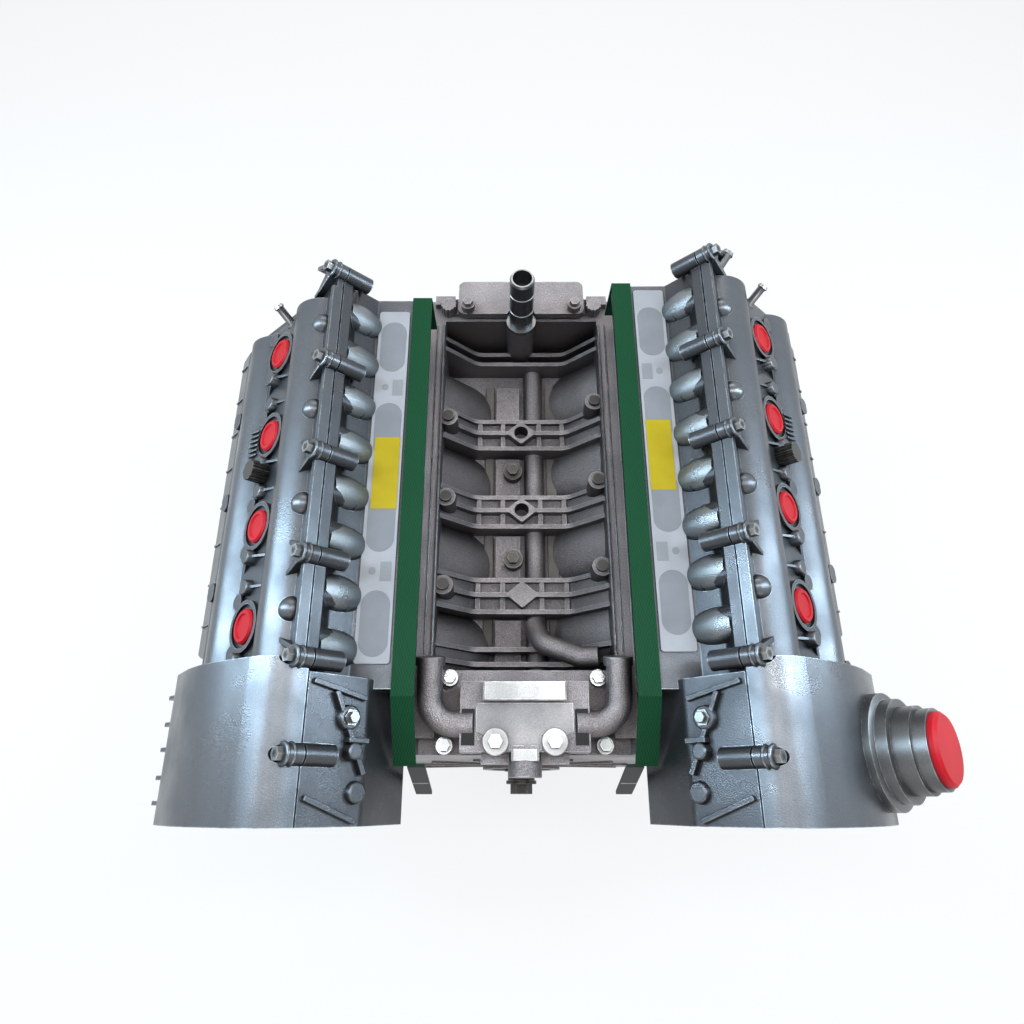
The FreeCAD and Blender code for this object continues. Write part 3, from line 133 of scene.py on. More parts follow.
def set_floor(level=-0.2055, half=4.0, glow_part=0.80):
    """Pale floor under the sump; camera and mirror rays see it nearly white, and it keeps the shadow."""
    mesh = bpy.data.meshes.new("floor")
    corners = [(-half, -half), (half, -half), (half, half), (-half, half)]
    mesh.from_pydata([(x, y, level) for x, y in corners], [], [(0, 1, 2, 3)])
    obj = bpy.data.objects.new("floor", mesh)
    bpy.context.scene.collection.objects.link(obj)
    mat = bpy.data.materials.new("floor")
    mat.use_nodes = True
    nt = mat.node_tree
    nt.nodes.clear()
    out = nt.nodes.new("ShaderNodeOutputMaterial")
    matt, glow = nt.nodes.new("ShaderNodeBsdfDiffuse"), nt.nodes.new("ShaderNodeEmission")
    mix = nt.nodes.new("ShaderNodeMixShader")
    matt.inputs["Color"].default_value = (0.80, 0.80, 0.80, 1)
    part = nt.nodes.new("ShaderNodeMath")
    part.operation = "MULTIPLY"
    part.inputs[1].default_value = glow_part
    nt.links.new(backdrop_rays(nt), part.inputs[0])
    nt.links.new(part.outputs[0], mix.inputs[0])
    nt.links.new(matt.outputs[0], mix.inputs[1])
    nt.links.new(glow.outputs[0], mix.inputs[2])
    nt.links.new(mix.outputs[0], out.inputs[0])
    mesh.materials.append(mat)


set_floor()


# ------------------------------------------------------------------ shader groups
def new_group(name, inputs, outputs):
    """An empty node group: inputs {name: default}, outputs [names]; returns group, its in node and out node."""
    group = bpy.data.node_groups.new(name, "ShaderNodeTree")
    for key, value in inputs.items():
        socket = group.interface.new_socket(key, in_out="INPUT", socket_type="NodeSocketFloat")
        socket.default_value = value
    for key in outputs:
        group.interface.new_socket(key, in_out="OUTPUT", socket_type="NodeSocketFloat")
    return group, group.nodes.new("NodeGroupInput"), group.nodes.new("NodeGroupOutput")


def math_node(nt, op, a, b=None):
    node = nt.nodes.new("ShaderNodeMath")
    node.operation = op
    for i, v in enumerate((a, b)):
        if v is None:
            continue
        if isinstance(v, (int, float)):
            node.inputs[i].default_value = v
        else:
            nt.links.new(v, node.inputs[i])
    return node.outputs[0]


def spread(nt, value, low, high):
    """Map Range from (low, high) to (0, 1), clamped."""
    node = nt.nodes.new("ShaderNodeMapRange")
    node.inputs["From Min"].default_value = low
    node.inputs["From Max"].default_value = high
    nt.links.new(value, node.inputs["Value"])
    return node.outputs[0]


def build_casting_skin():
    """Sand-cast skin: fine grain height and slow blotches."""
    group, gin, gout = new_group("casting_skin", {"Grain Scale": 900.0, "Blotch Scale": 18.0}, ["Grain", "Blotch"])
    coord = group.nodes.new("ShaderNodeTexCoord")
    for key, out, detail, low, high in (("Grain Scale", "Grain", 3.0, 0.25, 0.75),
                                        ("Blotch Scale", "Blotch", 5.0, 0.35, 0.65)):
        noise = group.nodes.new("ShaderNodeTexNoise")
        noise.inputs["Detail"].default_value = detail
        group.links.new(coord.outputs["Object"], noise.inputs["Vector"])
        group.links.new(gin.outputs[key], noise.inputs["Scale"])
        group.links.new(spread(group, noise.outputs["Fac"], low, high), gout.inputs[out])
    return group


def build_edge_wear_and_highlight():
    """Bright worn edges that also serve as painted edge highlights: where a bevelled normal leaves the true one,
    broken up by noise.
    """
    group, gin, gout = new_group("edge_wear_and_highlight", {"Width": 0.0015, "Amount": 1.0}, ["Wear"])
    bevel = group.nodes.new("ShaderNodeBevel")
    bevel.samples = 4
    group.links.new(gin.outputs["Width"], bevel.inputs["Radius"])
    geo = group.nodes.new("ShaderNodeNewGeometry")
    dot = group.nodes.new("ShaderNodeVectorMath")
    dot.operation = "DOT_PRODUCT"
    group.links.new(bevel.outputs[0], dot.inputs[0])
    group.links.new(geo.outputs["Normal"], dot.inputs[1])
    edge = spread(group, math_node(group, "SUBTRACT", 1.0, dot.outputs["Value"]), 0.01, 0.16)
    coord = group.nodes.new("ShaderNodeTexCoord")
    noise = group.nodes.new("ShaderNodeTexNoise")
    noise.inputs["Scale"].default_value = 160.0
    group.links.new(coord.outputs["Object"], noise.inputs["Vector"])
    broken = math_node(group, "MULTIPLY", edge, spread(group, noise.outputs["Fac"], 0.3, 0.6))
    group.links.new(math_node(group, "MULTIPLY", broken, gin.outputs["Amount"]), gout.inputs["Wear"])
    return group


def build_painted_hollow_shade():
    """Painted shade in hollows: ambient occlusion, sharpened."""
    group, gin, gout = new_group("painted_hollow_shade", {"Reach": 0.02, "Amount": 1.0}, ["Dirt"])
    ao = group.nodes.new("ShaderNodeAmbientOcclusion")
    ao.samples = 4
    group.links.new(gin.outputs["Reach"], ao.inputs["Distance"])
    closed = math_node(group, "SUBTRACT", 1.0, ao.outputs["AO"])
    deep = spread(group, closed, 0.15, 0.85)
    group.links.new(math_node(group, "MULTIPLY", deep, gin.outputs["Amount"]), gout.inputs["Dirt"])
    return group


def build_weave():
    """Flat webbing: ribs across the strap and fine threads along it."""
    group, gin, gout = new_group("strap_weave", {"Across": 2400.0, "Along": 900.0}, ["Weave"])
    coord = group.nodes.new("ShaderNodeTexCoord")
    split = group.nodes.new("ShaderNodeSeparateXYZ")
    group.links.new(coord.outputs["Object"], split.inputs[0])
    waves = []
    for axis, key in (("X", "Across"), ("Y", "Along")):
        turn = math_node(group, "MULTIPLY", split.outputs[axis], gin.outputs[key])
        waves.append(math_node(group, "SINE", turn))
    both = math_node(group, "MULTIPLY", waves[0], waves[1])
    group.links.new(spread(group, both, -1.0, 1.0), gout.inputs["Weave"])
    return group


def build_slope_shade():
    """Painted shade that darkens steep faces: one where a face looks up, zero where it hangs."""
    group, gin, gout = new_group("slope_shade", {"Low": -0.10, "High": 0.95}, ["Shade"])
    geo = group.nodes.new("ShaderNodeNewGeometry")
    split = group.nodes.new("ShaderNodeSeparateXYZ")
    group.links.new(geo.outputs["Normal"], split.inputs[0])
    node = group.nodes.new("ShaderNodeMapRange")
    group.links.new(split.outputs["Z"], node.inputs["Value"])
    group.links.new(gin.outputs["Low"], node.inputs["From Min"])
    group.links.new(gin.outputs["High"], node.inputs["From Max"])
    group.links.new(node.outputs[0], gout.inputs["Shade"])
    return group


GROUPS = {g.name: g for g in (build_casting_skin(), build_edge_wear_and_highlight(), build_painted_hollow_shade(), build_weave(),
                              build_slope_shade())}


def place_group(nt, name, **values):
    node = nt.nodes.new("ShaderNodeGroup")
    node.node_tree = GROUPS[name]
    for key, value in values.items():
        node.inputs[key.replace("_", " ")].default_value = value
    return node


def blend_colour(nt, factor, a, b):
    """Mix two colours (tuples or sockets) by a factor socket."""
    node = nt.nodes.new("ShaderNodeMix")
    node.data_type = "RGBA"
    nt.links.new(factor, node.inputs[0])
    for i, v in ((6, a), (7, b)):
        if isinstance(v, tuple):
            node.inputs[i].default_value = (*v, 1)
        else:
            nt.links.new(v, node.inputs[i])
    return node.outputs[2]


def material(name):
    mat = bpy.data.materials.new(name)
    mat.use_nodes = True
    nt = mat.node_tree
    return mat, nt, nt.nodes["Principled BSDF"]


def cast_metal(name, base, dark, bright, rough, metallic=0.85, grain=900.0, bump=0.25, hollow_shade_amount=0.8, speck=0.2,
               steep=0.30):
    """Cast or machined metal: blotched base, painted shade in hollows and on steep faces, worn bright edges that also
    serve as painted edge highlights, grain in the bump.
    speck is how far the grain varies the base, and steep is the base's share that a hanging face keeps under the
    painted slope shade."""
    mat, nt, bsdf = material(name)
    skin = place_group(nt, "casting_skin", Grain_Scale=grain)
    edge = place_group(nt, "edge_wear_and_highlight", Amount=0.8)
    hollow_shade_node = place_group(nt, "painted_hollow_shade", Amount=hollow_shade_amount)
    slope = place_group(nt, "slope_shade")
    tone = blend_colour(nt, skin.outputs["Blotch"], base, tuple(c * 0.70 for c in base))
    specks = blend_colour(nt, skin.outputs["Grain"], (1 - speck,) * 3, (1 + speck,) * 3)
    grainy = nt.nodes.new("ShaderNodeMix")
    grainy.data_type = "RGBA"
    grainy.blend_type = "MULTIPLY"
    grainy.inputs[0].default_value = 1.0
    nt.links.new(tone, grainy.inputs[6])
    nt.links.new(specks, grainy.inputs[7])
    # painted shade: steep and hanging faces are darkened towards the steep share of the base
    tone = blend_colour(nt, slope.outputs["Shade"], tuple(c * steep for c in base), grainy.outputs[2])
    # worn edges and painted edge highlight: edges are lightened towards the bright colour
    tone = blend_colour(nt, edge.outputs["Wear"], tone, bright)
    # painted shade: hollows are darkened towards the dark colour
    tone = blend_colour(nt, hollow_shade_node.outputs["Dirt"], tone, dark)
    nt.links.new(tone, bsdf.inputs["Base Color"])
    rough_map = nt.nodes.new("ShaderNodeMapRange")
    rough_map.inputs["To Min"].default_value = rough - 0.06
    rough_map.inputs["To Max"].default_value = rough + 0.10
    nt.links.new(skin.outputs["Blotch"], rough_map.inputs["Value"])
    nt.links.new(rough_map.outputs[0], bsdf.inputs["Roughness"])
    bsdf.inputs["Metallic"].default_value = metallic
    relief = nt.nodes.new("ShaderNodeBump")
    relief.inputs["Strength"].default_value = bump
    relief.inputs["Distance"].default_value = 0.0006
    nt.links.new(skin.outputs["Grain"], relief.inputs["Height"])
    nt.links.new(relief.outputs[0], bsdf.inputs["Normal"])
    return mat


def moulded(name, base, rough, bump=0.1, grain=1200.0):
    """Plastic, rubber or film: even colour with slight blotches and grain."""
    mat, nt, bsdf = material(name)
    skin = place_group(nt, "casting_skin", Grain_Scale=grain, Blotch_Scale=30.0)
    tone = blend_colour(nt, skin.outputs["Blotch"], base, tuple(c * 0.86 for c in base))
    nt.links.new(tone, bsdf.inputs["Base Color"])
    bsdf.inputs["Roughness"].default_value = rough
    bsdf.inputs["Specular IOR Level"].default_value = 0.25
    relief = nt.nodes.new("ShaderNodeBump")
    relief.inputs["Strength"].default_value = bump
    relief.inputs["Distance"].default_value = 0.0004
    nt.links.new(skin.outputs["Grain"], relief.inputs["Height"])
    nt.links.new(relief.outputs[0], bsdf.inputs["Normal"])
    return mat


def webbing(name, base, dark):
    mat, nt, bsdf = material(name)
    weave = place_group(nt, "strap_weave")
    nt.links.new(blend_colour(nt, weave.outputs["Weave"], dark, base), bsdf.inputs["Base Color"])
    bsdf.inputs["Roughness"].default_value = 0.62
    bsdf.inputs["Specular IOR Level"].default_value = 0.15
    relief = nt.nodes.new("ShaderNodeBump")
    relief.inputs["Strength"].default_value = 0.5
    relief.inputs["Distance"].default_value = 0.0005
    nt.links.new(weave.outputs["Weave"], relief.inputs["Height"])
    nt.links.new(relief.outputs[0], bsdf.inputs["Normal"])
    return mat


# In each cast_metal the second colour is its painted shade in hollows, and the third colours its worn edges and
# painted edge highlights.
MAT = {
    "cast_aluminium": cast_metal("block_casting", (0.285, 0.262, 0.268), (0.011, 0.010, 0.010),
                                 (0.60, 0.58, 0.59), 0.34, bump=0.9, speck=0.5, hollow_shade_amount=0.6, steep=0.55),
    "head_aluminium": cast_metal("head_casting", (0.110, 0.117, 0.130), (0.010, 0.010, 0.011),
                                 (0.50, 0.56, 0.62), 0.30, speck=0.25),
    "cover_magnesium": cast_metal("cover_casting", (0.150, 0.162, 0.180), (0.010, 0.010, 0.011),
                                  (0.50, 0.58, 0.64), 0.30, bump=0.15, speck=0.15),
    "machined_steel": cast_metal("turned_steel", (0.45, 0.45, 0.45), (0.05, 0.05, 0.05),
                                 (0.7, 0.7, 0.7), 0.32, 1.0, bump=0.05),
    "dark_steel": cast_metal("oiled_steel", (0.10, 0.095, 0.09), (0.01, 0.01, 0.01),
                             (0.35, 0.35, 0.35), 0.40, 1.0, bump=0.1),
    "zinc_bolt": cast_metal("zinc_plate", (0.36, 0.38, 0.39), (0.05, 0.05, 0.05),
                            (0.7, 0.7, 0.7), 0.30, 1.0, bump=0.04),
    "cast_iron_liner": cast_metal("honed_iron", (0.25, 0.25, 0.25), (0.05, 0.05, 0.05),
                                  (0.5, 0.5, 0.5), 0.35, 1.0),
    "bearing_metal": cast_metal("bearing_white_metal", (0.5, 0.47, 0.4), (0.1, 0.1, 0.1),
                                (0.7, 0.7, 0.65), 0.35, 1.0),
    "piston_alloy": cast_metal("piston_alloy", (0.5, 0.5, 0.5), (0.08, 0.08, 0.08), (0.75, 0.75, 0.75), 0.35),
    "gasket_steel": cast_metal("gasket_sheet", (0.2, 0.2, 0.21), (0.03, 0.03, 0.03), (0.4, 0.4, 0.4), 0.45),
    "gasket_rubber": moulded("seal_rubber", (0.02, 0.02, 0.02), 0.55),
    "red_plastic": moulded("red_plug_plastic", (0.50, 0.004, 0.012), 0.50),
    "film": moulded("port_film", (0.36, 0.36, 0.38), 0.45),
    "green_webbing": webbing("green_strap", (0.002, 0.060, 0.020), (0.001, 0.028, 0.010)),
    "black_plastic": moulded("black_plastic", (0.006, 0.006, 0.006), 0.50),
    "exhaust_iron": cast_metal("exhaust_iron", (0.12, 0.10, 0.085), (0.03, 0.02, 0.015),
                               (0.3, 0.28, 0.25), 0.6, 0.6, bump=0.5),
    "shield_sheet": cast_metal("shield_sheet", (0.30, 0.285, 0.275), (0.05, 0.05, 0.05),
                               (0.5, 0.5, 0.5), 0.50, bump=0.15),
    "pump_alloy": cast_metal("die_cast_alloy", (0.20, 0.205, 0.21), (0.03, 0.03, 0.03),
                             (0.55, 0.56, 0.57), 0.36, bump=0.12),
}

for entry in frame["record"]["subparts"]:
    node = NODES[entry["node"]]
    node.data.materials.clear()
    node.data.materials.append(MAT[entry["material_slot"]])


# ------------------------------------------------------------------ surface helpers
def to_world(points, side):
    """Bank coordinates (o, y, h), an (n, 3) array, to the frame: x = s (o + h) / sqrt 2, z = (h - o) / sqrt 2."""
    o, y, h = np.asarray(points, float).T
    return np.stack([SIGN[side] * (o + h) * R2, y, (h - o) * R2], axis=1)


def grid_faces(rows, cols, wrap_rows=False, wrap_cols=False):
    """Quads over a rows x cols grid of vertices, closed round either way on demand."""
    r = np.arange(rows if wrap_rows else rows - 1)
    c = np.arange(cols if wrap_cols else cols - 1)
    rr, cc = np.meshgrid(r, c, indexing="ij")
    r2, c2 = (rr + 1) % rows, (cc + 1) % cols
    return np.stack([rr * cols + cc, rr * cols + c2, r2 * cols + c2, r2 * cols + cc], axis=-1).reshape(-1, 4)


class Piece:
    """Gathers shells, then becomes one mesh object that rides on a body."""

    def __init__(self, name, mat, slot, body="engine"):
        self.name, self.mat, self.slot, self.body = name, mat, slot, body
        self.points, self.faces, self.count = [], [], 0

    def add(self, points, faces):
        points = np.asarray(points, float)
        self.points.append(points)
        self.faces += [tuple(int(i) + self.count for i in face) for face in faces]
        self.count += len(points)

    def make(self, bevel=0.0, smooth=True):
        mesh = bpy.data.meshes.new(self.name)
        mesh.from_pydata(np.concatenate(self.points).tolist(), [], self.faces)
        mesh.update()
        mesh.materials.append(self.mat)
        obj = bpy.data.objects.new(self.name, mesh)
        bpy.context.scene.collection.objects.link(obj)
        work = bmesh.new()
        work.from_mesh(mesh)
        bmesh.ops.recalc_face_normals(work, faces=work.faces)
        work.to_mesh(mesh)
        work.free()
        if bevel:
            mod = obj.modifiers.new("edges", "BEVEL")
            mod.width, mod.segments, mod.limit_method = bevel, 2, "ANGLE"
            mod.angle_limit = math.radians(40)
        if smooth:
            mesh.polygons.foreach_set("use_smooth", np.ones(len(mesh.polygons), bool))
            mesh.set_sharp_from_angle(angle=math.radians(40))
        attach(obj, self.body)
        return obj


def turned(profile, centre, axis, seg=32):
    """Surface of revolution: profile (distance along axis, radius) turned about axis; both ends are closed by caps.
    point(i, t) = centre + d_i axis + r_i (cos t u + sin t v)."""
    d, r = np.asarray(profile, float).T
    axis = np.asarray(axis, float)
    axis = axis / np.linalg.norm(axis)
    u = np.cross(axis, [0, 1, 0] if abs(axis[1]) < 0.9 else [1, 0, 0])
    u = u / np.linalg.norm(u)
    v = np.cross(axis, u)
    t = np.linspace(0, 2 * np.pi, seg, endpoint=False)
    ring = np.cos(t)[:, None] * u + np.sin(t)[:, None] * v
    points = np.asarray(centre, float) + d[:, None, None] * axis + r[:, None, None] * ring[None]
    faces = grid_faces(len(d), seg, wrap_cols=True).tolist()
    faces.append(list(range(seg)))
    faces.append([(len(d) - 1) * seg + i for i in range(seg)])
    return points.reshape(-1, 3), faces


def slab(outline, low, high):
    """Prism: a flat outline (n, 2) repeated at two levels; columns are (a, b, level)."""
    outline = np.asarray(outline, float)
    n = len(outline)
    points = np.concatenate([np.c_[outline, np.full(n, low)], np.c_[outline, np.full(n, high)]])
    faces = [[i, (i + 1) % n, n + (i + 1) % n, n + i] for i in range(n)]
    return points, faces + [list(range(n)), [n + i for i in range(n)]]


def stadium(a, b, half_width, half_length, seg=32):
    """Oval outline round (a, b): a circle of the half width, pulled apart along b by the rest of the length."""
    t = np.linspace(0, 2 * np.pi, seg, endpoint=False)
    stretch = (half_length - half_width) * np.sign(np.sin(t) + 1e-9)
    return np.stack([a + half_width * np.cos(t), b + half_width * np.sin(t) + stretch], axis=1)


def block(a0, a1, b0, b1, c0, c1):
    """Box as a slab: columns (a, b, c)."""
    return slab([(a0, b0), (a1, b0), (a1, b1), (a0, b1)], c0, c1)


def bank_axis(side):
    return np.array([SIGN[side] * R2, 0.0, R2])


def bank_point(o, y, h, side):
    return to_world([(o, y, h)], side)[0]


# ------------------------------------------------------------------ port films
# film_oval and film_mark are painted shadows of the ports and the gasket's bolt eyes under the film
MAT["film_oval"] = moulded("film_oval", (0.215, 0.22, 0.235), 0.5, bump=0.3, grain=500.0)
MAT["film_mark"] = moulded("film_mark", (0.26, 0.265, 0.275), 0.5, bump=0.3, grain=500.0)
MAT["sticker"] = moulded("yellow_sticker", (0.42, 0.31, 0.004), 0.45)


def port_marks():
    """Shadow of each port and of the gasket's bolt eyes, showing through the film; and the blank stickers."""
    for side in SIGN:
        s = SIGN[side]
        ovals = Piece(f"port_shadows_{side}", MAT["film_oval"], "film")
        marks = Piece(f"gasket_shadows_{side}", MAT["film_mark"], "film")
        for y in CYL_Y[side]:
            ovals.add(*slab(stadium(s * 0.1402, y, 0.0138, 0.031), FILM_TOP, FILM_TOP + SHADOW_LAYER))
        for y in CYL_Y[side][:3]:
            marks.add(*slab(stadium(s * 0.1455, y - PITCH / 2, 0.0035, 0.0037), FILM_TOP, FILM_TOP + SHADOW_LAYER))
            marks.add(*block(s * 0.127, s * 0.138, y - 0.060, y - 0.041, FILM_TOP, FILM_TOP + SHADOW_LAYER))
        ovals.make()
        marks.make()
        middle = -0.265 if side == "left" else -0.245
        label = Piece(f"sticker_{side}", MAT["sticker"], "film")
        label.add(*block(s * 0.1262, s * 0.1518, middle - 0.039, middle + 0.039, FILM_TOP + 0.0004, FILM_TOP + 0.0007))
        label.make(smooth=False)


port_marks()


# ------------------------------------------------------------------ strap ends, with painted shadow
def strap_ends_shadowed():
    """Painted shadow on the free tail of each strap: a black sleeve where the tail lies in shade, with a pale seam; a
    thin slab along the tail's slope.
    """
    top, foot = np.array([-0.5385, 0.237]), np.array([-0.5602, 0.150])
    along = foot - top
    across = np.array([along[1], -along[0]]) / np.linalg.norm(along)
    for side in SIGN:
        s = SIGN[side]
        shadow_sleeve = Piece(f"strap_shadow_sleeve_{side}", MAT["black_plastic"], "black_plastic")
        seam = Piece(f"strap_seam_{side}", MAT["film"], "film")
        for piece, start, end, half, x0, x1 in ((shadow_sleeve, 0.0, 1.0, 0.0016, 0.0925, 0.1085),
                                                (seam, 0.55, 0.58, 0.0019, 0.093, 0.108)):
            ring = [top + along * start + across * half, top + along * end + across * half,
                    top + along * end - across * half, top + along * start - across * half]
            points, faces = slab(ring, s * x0, s * x1)
            piece.add(points[:, [2, 0, 1]], faces)
        shadow_sleeve.make()
        seam.make(smooth=False)


strap_ends_shadowed()


# ------------------------------------------------------------------ cam cover details
def web(side, start, end, base, top_start, top_end, thick=0.003):
    """Upright rib in bank coordinates from start to end (o, y): a thin wedge between base and two top heights."""
    (o0, y0), (o1, y1) = start, end
    length = math.hypot(o1 - o0, y1 - y0)
    no, ny = -(y1 - y0) / length * thick / 2, (o1 - o0) / length * thick / 2
    plan = [(o0 + no, y0 + ny), (o0 - no, y0 - ny), (o1 - no, y1 - ny), (o1 + no, y1 + ny)]
    tops = (top_start, top_start, top_end, top_end)
    points = [(o, y, base) for o, y in plan] + [(o, y, h) for (o, y), h in zip(plan, tops)]
    quads = [(0, 1, 2, 3), (4, 5, 6, 7), (0, 1, 5, 4), (1, 2, 6, 5), (2, 3, 7, 6), (3, 0, 4, 7)]
    return to_world(points, side), quads


def cover_details():
    """Webs, bosses and a sensor in the trough between the lobes of each cover."""
    for side in SIGN:
        axis = bank_axis(side)
        webs = Piece(f"cover_webs_{side}", MAT["cover_magnesium"], "cover_magnesium")
        for y in CYL_Y[side]:
            for shift, lift in ((-0.032, 0.015), (-0.062, 0.012)):
                spot, top = y + shift, TROUGH_H + lift
                if spot < PHASER_Y:
                    continue
                webs.add(*turned([(0, 0.0085), (lift - 0.002, 0.0075), (lift, 0.0065)],
                                 bank_point(TROUGH_O, spot, TROUGH_H, side), axis, 20))
                for turn in (40, 140, 265):
                    a = math.radians(turn)
                    end = (TROUGH_O + 0.030 * math.sin(a), spot + 0.018 * math.cos(a))
                    webs.add(*web(side, (TROUGH_O, spot), end, TROUGH_H, top - 0.002, TROUGH_H + 0.004))
        for n in range(6):
            y = CYL_Y[side][1] + 0.012 - 0.0055 * n
            webs.add(*web(side, (0.020, y), (0.034, y), 0.373, 0.379, 0.381, 0.0022))
        webs.make(bevel=0.0005)
        spot = CYL_Y[side][1] - 0.042
        notches = 18
        sensor = Piece(f"cam_sensor_{side}", MAT["dark_steel"], "dark_steel")
        t = np.linspace(0, 2 * np.pi, 72, endpoint=False)
        knurl = 0.0105 + 0.0007 * np.sign(np.sin(notches * t))
        ring = np.stack([TROUGH_O + knurl * np.cos(t), spot + knurl * np.sin(t)], axis=1)
        pts, faces = slab(ring, TROUGH_H + 0.004, TROUGH_H + 0.024)
        sensor.add(to_world(pts, side), faces)
        sensor.make()


cover_details()


def fork_o(y):
    """Row of the cover's screws: the ones on the phaser housing stand further inboard."""
    return -0.095 if y > PHASER_Y else -0.102


def fork_claws():
    """Two claws from every screw boss up on to the lobe, and two beads round the boss."""
    for side in SIGN:
        axis = bank_axis(side)
        claws = Piece(f"fork_claws_{side}", MAT["cover_magnesium"], "cover_magnesium")
        for y in FORK_Y[side]:
            o = fork_o(y)
            for a in (-1, 1):
                claws.add(*web(side, (o + 0.002, y + a * 0.006), (o + 0.034, y + a * 0.019),
                               COVER_BASE, 0.3795, 0.3765, 0.0045))
            for h in (0.3705, 0.3765):
                claws.add(*turned([(0, 0.0089), (0.001, 0.0100), (0.0025, 0.0100), (0.0035, 0.0089)],
                                  bank_point(o, y, h, side), axis, 28))
        claws.make(bevel=0.0008)


fork_claws()


# ------------------------------------------------------------------ head walls
# Painted highlight: the head's casting in a lighter, bluish copy on the intake runners, for the lamp glints along
# them.
MAT["lit_runner_casting"] = cast_metal("lit_runner_casting", (0.30, 0.33, 0.35), (0.012, 0.012, 0.013),
                                   (0.65, 0.70, 0.74), 0.32, bump=0.4)


def bulge(start, end, wide, deep, lean_to, rows=14, seg=20):
    """Half-round runner: rings along start..end whose half axes swell as sqrt(sin) towards the middle.
    point(i, t) = c_i + w_i cos t Y + d_i sin t n."""
    start, end, n = (np.asarray(v, float) for v in (start, end, lean_to))
    u = np.linspace(0, 1, rows)
    swell = 0.25 + 0.75 * np.sqrt(np.sin(np.pi * np.clip(0.08 + 0.72 * u, 0, 1)))
    t = np.linspace(0, 2 * np.pi, seg, endpoint=False)
    centre = start + (end - start) * u[:, None]
    ring = (wide * swell)[:, None, None] * np.cos(t)[None, :, None] * np.array([0, 1.0, 0])
    ring = ring + (deep * swell)[:, None, None] * np.sin(t)[None, :, None] * n
    points = (centre[:, None, :] + ring).reshape(-1, 3)
    faces = grid_faces(rows, seg, wrap_cols=True).tolist()
    return points, faces + [list(range(seg)), [(rows - 1) * seg + i for i in range(seg)]]


def intake_runners():
    """Cast runner over each intake port, two to a cylinder, from the shelf up to the cover flange; its
    buried side stops short of the camshaft."""
    cam_clear_o = -0.082
    for side in SIGN:
        s = SIGN[side]
        runners = Piece(f"intake_runners_{side}", MAT["lit_runner_casting"], "head_aluminium")
        for y in CYL_Y[side]:
            for step in (-0.025, 0.025):
                points, faces = bulge((s * 0.1590, y + step, 0.270), (s * 0.1880, y + step, 0.306),
                                      0.0175, 0.0135, (-s * 0.78, 0, 0.62))
                o, h = (s * points[:, 0] - points[:, 2]) * R2, (s * points[:, 0] + points[:, 2]) * R2
                runners.add(to_world(np.stack([np.minimum(o, cam_clear_o), points[:, 1], h], axis=1), side), faces)
        runners.make()


intake_runners()


def screw_heads():
    """Painted shadow of the six-pointed star recess in the head of every cam cover screw: a thin dark star laid on the
    head.
    """
    t = np.linspace(0, 2 * np.pi, 36, endpoint=False)
    star = 0.0028 + 0.0006 * np.cos(6 * t)
    for side in SIGN:
        recess_shadows = Piece(f"screw_recess_shadows_{side}", MAT["dark_steel"], "dark_steel")
        for y in FORK_Y[side]:
            o = fork_o(y)
            pts, faces = slab(np.stack([o + star * np.cos(t), y + star * np.sin(t)], axis=1), 0.3855, 0.38625)
            recess_shadows.add(to_world(pts, side), faces)
        recess_shadows.make()


screw_heads()


# ------------------------------------------------------------------ fittings at the rear
def rear_fittings():
    """Vent nipples at the rear of each cover, and the bead rings on the coolant spigot."""
    nipples = Piece("vent_nipples", MAT["zinc_bolt"], "zinc_bolt")
    start = bank_point(-0.060, -0.040, 0.352, "right")
    nipples.add(*turned([(0, 0.008), (0.004, 0.008), (0.004, 0.0055), (0.034, 0.0055), (0.036, 0.007),
                         (0.040, 0.0055), (0.040, 0.003)], start, (0.55, 0.75, 0.35), 24))
    for side, y in (("left", -0.083), ("right", -0.056)):
        start = bank_point(-0.008, y, 0.366, side)
        nipples.add(*turned([(0, 0.007), (0.006, 0.007), (0.006, 0.0045), (0.026, 0.0045), (0.028, 0.006),
                             (0.031, 0.0045)], start, (SIGN[side] * 0.55, 0.55, 0.6), 24))
    nipples.make()
    rings = Piece("spigot_beads", MAT["zinc_bolt"], "zinc_bolt")
    for z in (0.232, 0.262):
        rings.add(*turned([(0, 0.0135), (0.001, 0.0146), (0.003, 0.0146), (0.004, 0.0135)], (*SPIGOT, z),
                          (0, 0, 1), 40))
    rings.make()


rear_fittings()


def side_rib(side, start, end, o, proud, half=0.0016):
    """Rib standing out of a wall o = const: from start to end (h, y), reaching proud towards the valley."""
    (h0, y0), (h1, y1) = start, end
    length = math.hypot(h1 - h0, y1 - y0)
    nh, ny = -(y1 - y0) / length * half, (h1 - h0) / length * half
    plan = [(h0 + nh, y0 + ny), (h0 - nh, y0 - ny), (h1 - nh, y1 - ny), (h1 + nh, y1 + ny)]
    points = [(level, y, h) for level in (o + 0.001, o - proud) for h, y in plan]
    quads = [(0, 1, 2, 3), (4, 5, 6, 7), (0, 1, 5, 4), (1, 2, 6, 5), (2, 3, 7, 6), (3, 0, 4, 7)]
    return to_world(points, side), quads


